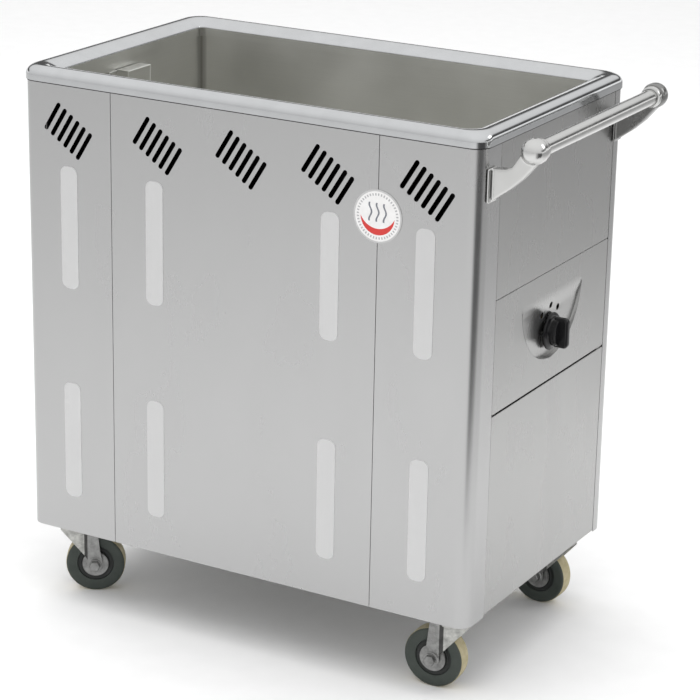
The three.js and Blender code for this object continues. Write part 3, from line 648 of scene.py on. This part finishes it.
def scoop_walls(bm):
    """Rings of vertices down the scoop's wall, joined by faces: the lower walls take a darker steel as
    painted shade, and the mouth's lower front edge a near-black line of painted shade.
    """
    rows = []
    for inset in SCOOP_INSETS:
        row = []
        for y, z in half_disc(inset):
            depth = scoop_floor(z)
            wall = share_of(inset / max(1.6, min(SCOOP_WALL, depth * 0.9)))
            wall = math.sin(wall * math.pi / 2) ** 0.8
            row.append(bm.verts.new((HALF_L - depth * wall, y, z)))
        rows.append(row)
    for outer, inner in zip(rows, rows[1:]):
        for i in range(len(outer)):
            j = (i + 1) % len(outer)
            wall = bm.faces.new((outer[i], outer[j], inner[j], inner[i]))
            place = outer[i].co
            # Painted shade: a near-black line along the mouth's lower front edge, darker steel on the lower
            # walls.
            if outer is rows[0]:
                shaded_edge = place.z < SCOOP_Z - 6 and place.y < SCOOP_Y - 35
                wall.material_index = 2 if shaded_edge else 0
            elif place.z < SCOOP_Z - 8:
                wall.material_index = 1
    return rows


def press_scoop(bm):
    """Adds the scoop's bowl to a panel and returns its mouth, a ring of vertices on the face."""
    rows = scoop_walls(bm)
    holes = []
    for turn in (-40, 0, 40):
        y = KNOB_Y + MARK_REACH * math.sin(math.radians(turn))
        z = KNOB_Z - MARK_DROP + MARK_REACH * math.cos(math.radians(turn))
        holes.append(circle(y, z, MARK_HOLE, 16))
    holes.append(circle(KNOB_Y, KNOB_Z, STEM_HOLE, 24))
    loops = [[Vector((v.co.y, v.co.z, 0)) for v in rows[-1]]]
    verts = list(rows[-1])
    for hole in holes:
        verts += [bm.verts.new((HALF_L - scoop_floor(z), y, z)) for y, z in hole]
        loops.append([Vector((y, z, 0)) for y, z in hole])
    faces = [bm.faces.new([verts[i] for i in triangle]) for triangle in tessellate_polygon(loops)]
    for k in range(1, FLOOR_CUTS):
        level = SCOOP_Z - SCOOP_R * k / FLOOR_CUTS
        geometry = {v for f in faces for v in f.verts} | {e for f in faces for e in f.edges}
        cut = bmesh.ops.bisect_plane(
            bm, geom=list(geometry) + faces, dist=1e-4, plane_co=(0, 0, level), plane_no=(0, 0, 1))
        faces = [item for item in cut["geom"] if isinstance(item, bmesh.types.BMFace)]
        for item in cut["geom_cut"]:
            if isinstance(item, bmesh.types.BMVert) and not item.link_edges[0].is_boundary:
                item.co.x = HALF_L - scoop_floor(item.co.z)
    return rows[0]


# ---------- rim ----------
RIM_SKIRT = RIM_TOP - 22.5  # height of the skirt's lower edge
RIM_WIDTH = 44.3
RIM_CORNER, INNER_CORNER = 28, 7.5


def rim_profile():
    """(inset, height) pairs round the rolled rim, going inwards from its outer lower edge."""
    low = local(rim_low).z
    crest, straight, squareness = 16, 6, 2 / 2.3
    rise = RIM_TOP - RIM_SKIRT - straight
    outer = []
    for k in range(1, 19):
        turn = math.radians(5 * k)
        inset = crest * (1 - math.cos(turn) ** squareness)
        outer.append((inset, RIM_SKIRT + straight + rise * math.sin(turn) ** squareness))
    roll, fall, power = 4, 10, 1.9
    reach = RIM_WIDTH - 1.62 - crest
    inner = [(crest + reach * k / 12, RIM_TOP - fall * (k / 12) ** power) for k in range(1, 13)]
    tilt = math.degrees(math.atan(fall * power / reach))
    middle = RIM_TOP - fall - roll * math.cos(math.radians(tilt))
    bend = []
    for k in range(1, 7):
        turn = math.radians(tilt + (90 - tilt) * k / 6)
        bend.append((RIM_WIDTH - roll + roll * math.sin(turn), middle + roll * math.cos(turn)))
    under = [(RIM_WIDTH - 1.4, 14), (39.4, 9.6), (33.4, 5.9), (26.6, 2.9), (19.8, 1.4), (12.2, 1.4),
             (8.6, 2.4), (5, 4.8), (2.4, 8.9), (1.3, 14), (1.3, RIM_TOP - RIM_SKIRT)]
    lip = [(RIM_WIDTH, low), (RIM_WIDTH - 1.4, low)]
    return [(0, RIM_SKIRT), *outer, *inner, *bend, *lip, *((inset, RIM_TOP - drop) for inset, drop in under)]


def round_the_rim(profile, corner_of):
    """A closed ring from (inset, height) pairs, with corners that follow the inset."""
    rings = []
    for inset, z in profile:
        loop = rounded_rectangle(
            -RIM_X + inset, RIM_X - inset, -RIM_Y + inset, RIM_Y - inset, corner_of(inset), 12)
        rings.append([(x, y, z) for x, y in loop])
    return loft(rings, close=True)


def rim_ring():
    bm = round_the_rim(rim_profile(), lambda inset: min(RIM_CORNER, INNER_CORNER + RIM_WIDTH - inset))
    inside_x, inside_y = RIM_X - RIM_WIDTH / 2, RIM_Y - RIM_WIDTH / 2
    for face in bm.faces:
        middle = face.calc_center_median()
        inside = abs(middle.x) < inside_x and abs(middle.y) < inside_y
        if inside and middle.z < RIM_TOP - 13 and abs(face.normal.z) < 0.5:
            face.material_index = 1
    return bm


def rim_shadow_bead():
    """A near-black bead in the gap between the rim's skirt and the skins: painted shadow under the rim."""
    low, high = RIM_SKIRT - 1.9, RIM_SKIRT + 2.5
    outer, inner = 1.7, OVERHANG - 0.2
    profile = [(outer, low), (outer, high), (inner, high), (inner, low)]
    return round_the_rim(profile, lambda inset: CORNER_R + 2)


# ---------- overflow guard ----------
GUARD_WING = 22  # from each end of the guard's box to its raised middle


def bar(axis, start, end, at, radius=0.9):
    """A thin round bar along an axis."""
    bm = turned([(0, start), (radius, start), (radius, end), (0, end)], axis, 16)
    bm.transform(Matrix.Translation(at))
    return bm


def guard_trim():
    """A cap that closes the guard's top, and thin near-white bars along its folded edges: painted
    highlights.
    """
    low, high = local_box("overflow_guard")
    front, rear = low.y + GUARD_WING, high.y - GUARD_WING
    outline = rounded_rectangle(low.x + 1.6, high.x, front, rear, 1, 3)
    cap = standing(plate([outline], 1.4, 0.4), "z", high.z + 1)
    add_piece("guard_cap", cap, LOOKS["well"], "cabinet")
    highlight_bars = [
        bar("y", front, rear, (high.x, 0, high.z + 1)),
        bar("z", low.z, high.z + 1, (high.x, rear, 0)),
        bar("z", low.z, high.z + 1, (high.x, front, 0), 0.6),
        bar("y", low.y, front, (low.x + 2, 0, high.z), 0.7),
    ]
    add_piece("guard_highlight_bars", merged(*highlight_bars), LOOKS["edge_highlight"], "cabinet")


# ---------- handle ----------
tube_low, tube_high = local_box("handle_tube")
HANDLE_X = (tube_low.x + tube_high.x) / 2
HANDLE_Z = (tube_low.z + tube_high.z) / 2
HANDLE_R = (tube_high.z - tube_low.z) / 2
bracket_low, bracket_high = local_box("handle_bracket_front")
BOSS_R = bracket_high.z - HANDLE_Z
BOSS_INNER = bracket_high.y - 10
TUBE_WALL = 1.5


def tube():
    end, bore = tube_high.y, HANDLE_R - TUBE_WALL
    bm = turned([(HANDLE_R, -end), (HANDLE_R, end), (bore, end), (bore, -end)], "y", 64, close=True)
    bm.transform(Matrix.Translation((HANDLE_X, 0, HANDLE_Z)))
    return bm


def bracket():
    """The front bracket: a wall plate, a gusset and a domed boss melted into one casting."""
    wall = HALF_L + 0.4
    outer = bracket_low.y
    gusset = [
        (wall, 673), (414, 675), (441, 695), (459, 711.5),
        *arc(HANDLE_X, HANDLE_Z, BOSS_R - 3.5, -50, 190, 20),
        (449, 738), (443, 729), (434, 724.5), (wall, 722),
    ]
    web = standing(plate([gusset], BOSS_INNER - outer - 12, 1.6, 3), "y", (outer + BOSS_INNER) / 2 + 3.5)
    outline = rounded_rectangle(outer + 0.3, BOSS_INNER - 0.3, 671.6, 723.6, 3, 6)
    foot = standing(plate([outline], 3.4, 1.2), "x", wall + 1.8)
    dome = [(0, 0.6), (5, 1), (9.5, 2.4), (13.5, 4.8), (16.6, 8), (18.6, 12), (BOSS_R - 0.4, 17)]
    back = [(BOSS_R - 0.3, BOSS_INNER - 4), (BOSS_R - 1.6, BOSS_INNER - 0.6), (0, BOSS_INNER)]
    boss = turned([(r, outer + rise) for r, rise in dome] + back, "y", 48)
    boss.transform(Matrix.Translation((HANDLE_X, 0, HANDLE_Z)))
    return solid_of(merged(web, foot, boss), 1.0, 4)


def collar():
    """The sleeve between the bracket's boss and the tube."""
    bore, end = HANDLE_R + 0.35, BOSS_INNER + 9.6
    profile = [(bore, BOSS_INNER - 1), (16, BOSS_INNER - 1), (17, BOSS_INNER + 1), (17, end - 2.5),
               (16.2, end - 0.8), (14.6, end), (bore, end)]
    bm = turned(profile, "y", 64, close=True)
    bm.transform(Matrix.Translation((HANDLE_X, 0, HANDLE_Z)))
    return bm


def handle():
    """The tube and its two ends; the rear bracket is the front one mirrored, in a darker steel painted as
    its shade.
    """
    add_piece("handle_tube_polished", tube(), LOOKS["chrome"], "cabinet", ["handle_tube"])
    for name, side, look in (("front", 1, "chrome"), ("rear", -1, "chrome_rear_shaded")):
        casting, sleeve = bracket(), collar()
        place = TO_FRAME @ Matrix.Scale(side, 4, (0, 1, 0))
        if side < 0:
            for part in (casting, sleeve):
                bmesh.ops.reverse_faces(part, faces=part.faces)
        add_piece("handle_bracket_" + name + "_cast", casting, LOOKS[look], "cabinet",
                  ["handle_bracket_" + name], angle=60, place=place, weigh=False)
        add_piece("handle_collar_" + name, sleeve, LOOKS["chrome"], "cabinet",
                  place=place)


# ---------- knob ----------
def knob():
    """A stepped round skirt and an upright grip across it."""
    back, front = knob_low.x, knob_high.x
    radius = (knob_high.z - knob_low.z) / 2
    skirt = [(4.4, back), (radius - 1.2, back), (radius - 0.2, back + 1), (radius - 0.2, back + 2.6),
             (radius - 1.4, back + 4.2), (radius - 5, back + 5.2), (23.2, back + 6.2), (22.2, back + 7.4),
             (21.6, front - 15.6), (20.6, front - 14.2), (18.5, front - 13.6), (4.4, front - 13.6)]
    body = turned(skirt, "x", 72, close=True)
    body.transform(Matrix.Translation((0, KNOB_Y, KNOB_Z)))
    half_grip = 24.3
    outline = rounded_rectangle(back + 5, front, KNOB_Z - half_grip, KNOB_Z + half_grip, 7)
    grip = standing(plate([outline], 12.4, 4.2, 6), "y", KNOB_Y)
    return merged(body, grip)


# ---------- label ----------
# Radii and places on the disc are shares of its own radius.
EDGE_RING, FIELD = 0.93, 0.70
TICKS_IN, TICKS_OUT, TICK_COUNT = 0.77, 0.86, 44
CRESCENT_MIDDLE, CRESCENT_R = 0.32, 0.78
STEAM_LINES, STEAM_HALF = (-0.3, 0.0, 0.3), 0.035


def label_look():
    """White disc: grey edge, a ring of ticks, a red lower crescent and three wavy steam lines."""
    low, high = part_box("label_disc")
    centre = (low + high) / 2
    radius = (high.z - low.z) / 2
    look = Look("label_print")
    across, _, up = look.axes()
    u = look.math("DIVIDE", look.math("SUBTRACT", across, centre.x), radius)
    v = look.math("DIVIDE", look.math("SUBTRACT", up, centre.z), radius)

    def away_from(middle):
        rise = look.math("SUBTRACT", v, middle)
        return look.math("SQRT", look.math(
            "ADD", look.math("MULTIPLY", u, u), look.math("MULTIPLY", rise, rise)))

    reach = away_from(0.0)
    inside = look.math("LESS_THAN", reach, FIELD)
    edge = look.math("GREATER_THAN", reach, EDGE_RING)
    below = look.math("GREATER_THAN", away_from(CRESCENT_MIDDLE), CRESCENT_R)
    red = look.math("MULTIPLY", below, inside)
    turn = look.math("ARCTAN2", u, v)
    ticks = look.math("GREATER_THAN", look.math("SINE", look.math("MULTIPLY", turn, TICK_COUNT)), 0.1)
    band = look.math(
        "MULTIPLY", look.math("GREATER_THAN", reach, TICKS_IN), look.math("LESS_THAN", reach, TICKS_OUT))
    ticks = look.math("MULTIPLY", ticks, band)
    wave = look.math("MULTIPLY", look.math("SINE", look.math("MULTIPLY", v, 11)), 0.05)
    steam = None
    for middle in STEAM_LINES:
        away = look.math("ABSOLUTE", look.math("SUBTRACT", look.math("SUBTRACT", u, wave), middle))
        line = look.math("LESS_THAN", away, STEAM_HALF)
        steam = line if steam is None else look.math("MAXIMUM", steam, line)
    for test, limit in (("GREATER_THAN", -0.2), ("LESS_THAN", 0.5)):
        steam = look.math("MULTIPLY", steam, look.math(test, v, limit))
    paper = look.noise(60, 3)
    white = look.mix(look.spread(paper, 0, 1), (0.76, 0.75, 0.745), (0.84, 0.835, 0.83))
    color = look.mix(red, white, (0.62, 0.035, 0.03))
    color = look.mix(steam, color, (0.16, 0.17, 0.2))
    color = look.mix(ticks, color, (0.42, 0.42, 0.43))
    color = look.mix(edge, color, (0.5, 0.5, 0.5))
    look.bump(paper, 0.05, 0.0002)
    return look.done(color, 0.32)


def label():
    low, high = local_box("label_disc")
    radius = (high.z - low.z) / 2
    profile = [(0, low.y + 0.02), (radius - 3, low.y), (radius - 0.5, low.y + 0.1),
               (radius, low.y + 0.4), (radius - 0.1, high.y), (0, high.y)]
    bm = turned(profile, "y", 96)
    bm.transform(Matrix.Translation(((low.x + high.x) / 2, 0, (low.z + high.z) / 2)))
    return bm


# ---------- casters ----------
def both_sides(side):
    """A wheel's closed profile from the (radius, height) pairs of one side."""
    return side + [(r, -h) for r, h in side[::-1]]


def tyre():
    """Tyre with rounded shoulders; its tread is the worn, paler band."""
    radius = joints["wheel_spin_front_right"]["pos_m"][2] / MM
    tread_start, tread_half = radius - 1.0, 12
    side = [(30.2, 11.6), (30.6, 12.8), (32, 13.4), (34, 13.5), (36, 13.9), (41, 14.3), (44.5, 14.5),
            (46.4, 14.3), (47.8, 13.6), (48.8, 12.5), (radius - 0.2, 11), (radius, 9), (radius, 4.5)]
    bm = turned(both_sides(side), "y", 96, close=True)
    for face in bm.faces:
        middle = face.calc_center_median()
        if math.hypot(middle.x, middle.z) > tread_start and abs(middle.y) < tread_half:
            face.material_index = 1
    return bm


def hub():
    """Hub with a zinc side disc and a dark recess between it and the tyre."""
    side = [(5.4, 15.4), (9, 15.6), (13, 15.0), (16, 14.6), (20.5, 14.8), (22.0, 15.4), (22.5, 14.4),
            (22.6, 10.6), (24, 9.6), (28, 9.6), (29.9, 10.6)]
    disc_r = 22.52
    bm = turned(both_sides(side), "y", 72, close=True)
    for face in bm.faces:
        middle = face.calc_center_median()
        if math.hypot(middle.x, middle.z) > disc_r:
            face.material_index = 1
    return bm


LEG_FRONT, LEG_Y, LEG_SHEET, LEG_EDGE = 18.5, 19.5, 2, 0.4
WEB_STEP_END, WEB_STEP, WEB_SLOPE = 14.5, 3.6, 0.08
HEAD_R, WASHER = 9.4, 1.2


def fold_web(bm, side):
    """Folds a fork's web in from the leg's front edge: a short steep step, then a shallow slope."""
    for cut in (LEG_FRONT, WEB_STEP_END):
        cut_across(bm, cut)
    for v in bm.verts:
        step = share_of((LEG_FRONT - v.co.x) / (LEG_FRONT - WEB_STEP_END))
        slope = max(0.0, WEB_STEP_END - v.co.x) * WEB_SLOPE
        v.co.y += side * (LEG_Y - WEB_STEP * step - slope)
    return bm


def fork(trail, axle_z):
    """A pressed fork: flat legs, webs folded inwards in front of them, and a round crown."""
    leg = [
        (LEG_FRONT, -17), (LEG_FRONT, -74),
        *arc(trail, axle_z, 13.2, 160, 372, 20),
        (40, -58), (35.5, -17),
    ]
    web = [(-26, -16.5), (-27, -22), (19, -74.5), (19, -16.5)]
    parts = []
    for side in (-1, 1):
        parts.append(standing(plate([leg], LEG_SHEET, LEG_EDGE), "y", side * LEG_Y))
        parts.append(fold_web(standing(plate([web], LEG_SHEET, LEG_EDGE), "y", 0), side))
        cone = turned([(0, 0), (11.5, 0), (8.5, 3.2), (0, 3.4)], "y", 40)
        outward = Matrix.Scale(side, 4, (0, 1, 0))
        cone.transform(Matrix.Translation((trail, side * 20.2, axle_z)) @ outward)
        parts.append(cone)
    dish = [(0, -12.7), (23, -12.7), (26.5, -14.5), (27.6, -18), (27.6, -20.5), (0, -20.5)]
    parts.append(turned(dish, "z", 48))
    parts.append(standing(plate([rounded_rectangle(-24, 36, -20.4, 20.4, 6)], 3, 1), "z", -18.3))
    bm = solid_of(merged(*parts), 0.6, 1)
    # Painted light and shade: the web's slope takes a paler zinc, the fold step in front of the leg a
    # near-black zinc.
    for face in bm.faces:
        middle = face.calc_center_median()
        if abs(middle.y) <= 11 or middle.z >= -17:
            continue
        if middle.x < 13:
            face.material_index = 2
        elif middle.x < LEG_FRONT + 0.1 and middle.z > axle_z + 9:
            face.material_index = 1
    return bm


def hex_head(start, end):
    """A chamfered hexagon along Y, with a washer behind it."""
    step = WASHER if end > start else -WASHER
    base = start + step
    washer = turned([(5.2, start), (11, start), (11, base), (5.2, base)], "y", 40, True)
    flats, top = circle(0, 0, HEAD_R, 6), circle(0, 0, HEAD_R - 1.3, 6)
    levels = ((flats, base), (flats, end - step), (top, end))
    return merged(washer, loft([[(x, y, z) for x, z in outline] for outline, y in levels]))


def bolt(trail, axle_z):
    """The axle: a stem with a hexagon at each end."""
    stem = turned([(0, -24), (5, -24), (5, 24), (0, 24)], "y", 32)
    bm = merged(stem, hex_head(23.9, 31), hex_head(-23.9, -31))
    bm.transform(Matrix.Translation((trail, 0, axle_z)))
    return bm


def plate_and_race():
    """The caster's top plate with its four holes, and the swivel race under it."""
    holes = [circle(x, y, 3.3, 16) for x in (-28, 28) for y in (-22, 22)]
    top = standing(plate([rounded_rectangle(-36, 36, -30, 30, 6), *holes], 3, 0.5), "z", -1.8)
    rings = [(8, -2.5), (27.8, -2.5), (28, -5), (26.5, -7), (24.6, -9.5), (24, -12), (8, -12)]
    return merged(top, turned(rings, "z", 64, True))


def casters():
    for joint in [j for name, j in joints.items() if name.startswith("swivel_")]:
        place = joint["name"].removeprefix("swivel_")
        pivot = Vector(joint["pos_m"])
        axle = Vector(joints["wheel_spin_" + place]["pos_m"])
        run = axle - pivot
        heading = math.atan2(run.y, run.x)
        trail = math.hypot(run.x, run.y) / MM
        axle_z = local(axle).z
        base = Matrix.Translation((pivot.x, pivot.y, ORIGIN.z)) @ Matrix.Scale(MM, 4)
        turned_base = base @ Matrix.Rotation(heading, 4, "Z")
        wheel_base = turned_base @ Matrix.Translation((trail, 0, axle_z))
        add_piece("caster_top_" + place, plate_and_race(), LOOKS["zinc"], "cabinet",
                  ["caster_plate_" + place], place=base)
        add_piece("caster_fork_pressed_" + place, fork(trail, axle_z),
                  [LOOKS["zinc"], LOOKS["zinc_fold_painted_shade"], LOOKS["zinc_web_painted_light"]], "fork_" + place,
                  ["caster_fork_" + place], angle=60, place=turned_base, weigh=False)
        add_piece("axle_bolt_hex_" + place, bolt(trail, axle_z), LOOKS["zinc"], "fork_" + place,
                  ["axle_bolt_" + place], place=turned_base)
        add_piece("tyre_moulded_" + place, tyre(), [LOOKS["rubber"], LOOKS["tread"]], "wheel_" + place,
                  ["tyre_" + place], place=wheel_base)
        add_piece("hub_turned_" + place, hub(), [LOOKS["zinc"], LOOKS["core"]], "wheel_" + place,
                  ["wheel_hub_" + place], place=wheel_base)


# ---------- CAD nodes that stay ----------
KEPT = {
    "well": ["well_tank", "overflow_guard"],
    "frame": ["base_pan", "heat_tray", "burner_crossbar_left", "burner_crossbar_right", "valve_stem",
              "door_hinge_upper", "door_hinge_lower", "door_knuckle_upper", "door_knuckle_lower",
              "drain_pipe", "corner_post_front_left", "corner_post_front_right",
              "corner_post_rear_left", "corner_post_rear_right"],
    "iron": ["burner_front", "burner_rear"],
    "brass": ["gas_manifold", "gas_valve", "gas_supply_pipe", "drain_valve"],
    "end": ["drain_lever"],
    "core": ["door_catch"],
}


EDGE_WIDTH, EDGE_ANGLE = 0.4, 40


def finish_kept_nodes():
    """Gives the CAD nodes that stay their materials and soft edges."""
    for look, nodes in KEPT.items():
        for node in nodes:
            piece = frame["nodes"][node]
            for slot in piece.material_slots:
                slot.material = LOOKS[look]
            soften = piece.modifiers.new("soft_edges", "BEVEL")
            soften.width, soften.segments = EDGE_WIDTH * MM, 2
            soften.limit_method, soften.angle_limit = "ANGLE", math.radians(EDGE_ANGLE)


# ---------- studio ----------
CAMERA_PLACE = (1990.8, -3424.4, 1653.9)
CAMERA_TURN = (29.47, 18.777, 1.134)  # azimuth, pitch and roll in degrees
LENS, SENSOR = 131.2, 36


def camera():
    """The photograph's camera, as solved from the cabinet's straight edges."""
    data = bpy.data.cameras.new("camera")
    data.lens, data.sensor_width, data.clip_end = LENS, SENSOR, 60
    item = bpy.data.objects.new("camera", data)
    bpy.context.scene.collection.objects.link(item)
    azimuth, pitch, roll = (math.radians(a) for a in CAMERA_TURN)
    level = Vector((math.cos(azimuth), math.sin(azimuth), 0))
    ahead = Vector((-level.y * math.cos(pitch), level.x * math.cos(pitch), -math.sin(pitch)))
    up = level.cross(ahead)
    across = level * math.cos(roll) + up * math.sin(roll)
    upright = up * math.cos(roll) - level * math.sin(roll)
    turn = Matrix((across, upright, -ahead)).transposed()
    item.matrix_world = Matrix.Translation(TO_FRAME @ Vector(CAMERA_PLACE)) @ turn.to_4x4()
    bpy.context.scene.camera = item


def area_light(name, place, target, size, power, mirrored=True):
    """A soft rectangular lamp; mirrored says whether polished steel shows it."""
    data = bpy.data.lights.new(name, "AREA")
    data.shape, data.size, data.size_y = "RECTANGLE", *size
    data.energy = power
    item = bpy.data.objects.new(name, data)
    bpy.context.scene.collection.objects.link(item)
    item.visible_glossy = mirrored
    item.location = place
    item.rotation_mode = "QUATERNION"
    item.rotation_quaternion = (Vector(target) - Vector(place)).to_track_quat("-Z", "Y")


def paper(name, height, look):
    """A wide level sheet of paper under the cart."""
    bm = bmesh.new()
    bmesh.ops.create_grid(bm, x_segments=1, y_segments=1, size=30)
    mesh = bpy.data.meshes.new(name)
    bm.to_mesh(mesh)
    bm.free()
    mesh.materials.append(look)
    item = bpy.data.objects.new(name, mesh)
    item.location.z = height
    bpy.context.scene.collection.objects.link(item)
    return item


BLACK, WHITE = (0, 0, 0), (1, 1, 1)
PAPER_ROUGH = 0.8
FLAG_LEVEL, FLAG_HEIGHT = 0.79, 0.4 * MM
VIEW_X, VIEW_Y = 0.5, 0.866  # the camera stands towards (VIEW_X, -VIEW_Y) from the cart


def floor():
    """Plain pale paper, under a toned sheet that only mirrored rays see, like a studio's flags."""
    plain = Look("floor_paper")
    fibre = plain.spread(plain.noise(20, 3), 0.9, 0.92)
    paper("floor", 0, plain.done(plain.mix(fibre, BLACK, WHITE), PAPER_ROUGH))
    look = Look("flag_tones")
    across, along, _ = look.axes()
    nearer = look.math(
        "SUBTRACT", look.math("MULTIPLY", across, VIEW_X), look.math("MULTIPLY", along, VIEW_Y))
    aside = look.math(
        "ADD", look.math("MULTIPLY", across, VIEW_Y), look.math("MULTIPLY", along, VIEW_X))
    beyond = look.math("SUBTRACT", nearer, 0.4)
    slant = look.math("DIVIDE", look.math("SUBTRACT", aside, 0.2), look.math("MAXIMUM", beyond, 0.05))
    away = look.spread(beyond, 0.0, 1.0, 0.75, 1.15)
    sector = look.math(
        "MULTIPLY", look.spread(slant, 0.0, 1.0, -0.05, 0.25), look.spread(slant, 1.0, 0.0, 1.2, 2.4))
    front = look.spread(look.math("MULTIPLY", away, sector), 1.0, 0.06, 0.0, 1.0)
    right = look.spread(aside, 1.0, 0.5, 1.05, 2.4)
    left = look.spread(aside, 0.88, 1.0, -2.6, -1.0)
    level = look.math("MULTIPLY", front, look.math("MULTIPLY", right, left))
    level = look.math("MULTIPLY", level, FLAG_LEVEL)
    flag = paper("flag_sheet", FLAG_HEIGHT, look.done(look.mix(level, BLACK, WHITE), PAPER_ROUGH))
    flag.visible_camera = flag.visible_diffuse = flag.visible_shadow = flag.visible_transmission = False


# (upward share of the direction, grey level) stops of the sky, from the horizon up
SKY_BACK = [(0.0, 1.2), (0.08, 1.2), (0.12, 0.1), (0.27, 0.1), (0.37, 0.85), (0.6, 0.95), (1.0, 1.0)]
SKY_FRONT = [(0.0, 0.75), (0.3, 0.85), (0.6, 0.95), (1.0, 1.0)]


def sky():
    """A soft white dome with a dark band low at the back, so that polished edges show bands."""
    world = bpy.data.worlds.new("studio")
    bpy.context.scene.world = world
    world.use_nodes = True
    graph = Graph(world.node_tree, "Generated")
    _, along, up = graph.axes()
    back, front = graph.ramp(up, SKY_BACK), graph.ramp(up, SKY_FRONT)
    facing = graph.spread(along, 0.0, 1.0, -0.25, 0.1)
    background = world.node_tree.nodes["Background"]
    graph.link(graph.mix(facing, front, back), background.inputs["Color"])
    background.inputs["Strength"].default_value = 1.0


def studio():
    """The sky, a wide lamp above that steel does not mirror, and a weak lamp behind on the right."""
    bpy.context.scene.view_settings.view_transform = "Standard"
    sky()
    area_light("top", (-0.4, -0.4, 4.6), (0, 0, 0.4), (5.0, 5.0), 150, mirrored=False)
    area_light("side", (2.6, 1.8, 2.6), (0.3, 0, 0.6), (1.4, 1.4), 10)


# ---------- build ----------
FRONT_WRAP = END_FRONT + HALF_D - 2 * SEAM
REAR_WRAP = HALF_D - END_REAR - SEAM - 1
END_PANELS = (
    ("right_upper_panel", "cabinet", None),
    ("access_door", "door", None),
    ("control_panel", "cabinet", press_scoop),
)
skins("front", 0, FRONT_WRAP)
skins("rear", math.pi, REAR_WRAP)
for panel_name, body_name, pressing in END_PANELS:
    low_corner, high_corner = local_box(panel_name)
    add_panel(panel_name, folded_panel(low_corner.z, high_corner.z, pressing), body_name)
add_panel("left_end_panel", folded_panel(0, SKIN_TOP), "cabinet", mirror=True)
add_piece("rim_folded", rim_ring(), [LOOKS["rim"], LOOKS["well"]], "cabinet", ["top_rim"])
# Painted shadow: a near-black bead under the rim's skirt.
add_piece("rim_shadow_bead", rim_shadow_bead(), LOOKS["shade_line"], "cabinet")
guard_trim()
handle()
add_piece("knob_moulded", knob(), LOOKS["knob"], "knob", ["control_knob"])
add_piece("label_printed", label(), label_look(), "cabinet", ["label_disc"])
casters()
finish_kept_nodes()
floor()
studio()
camera()
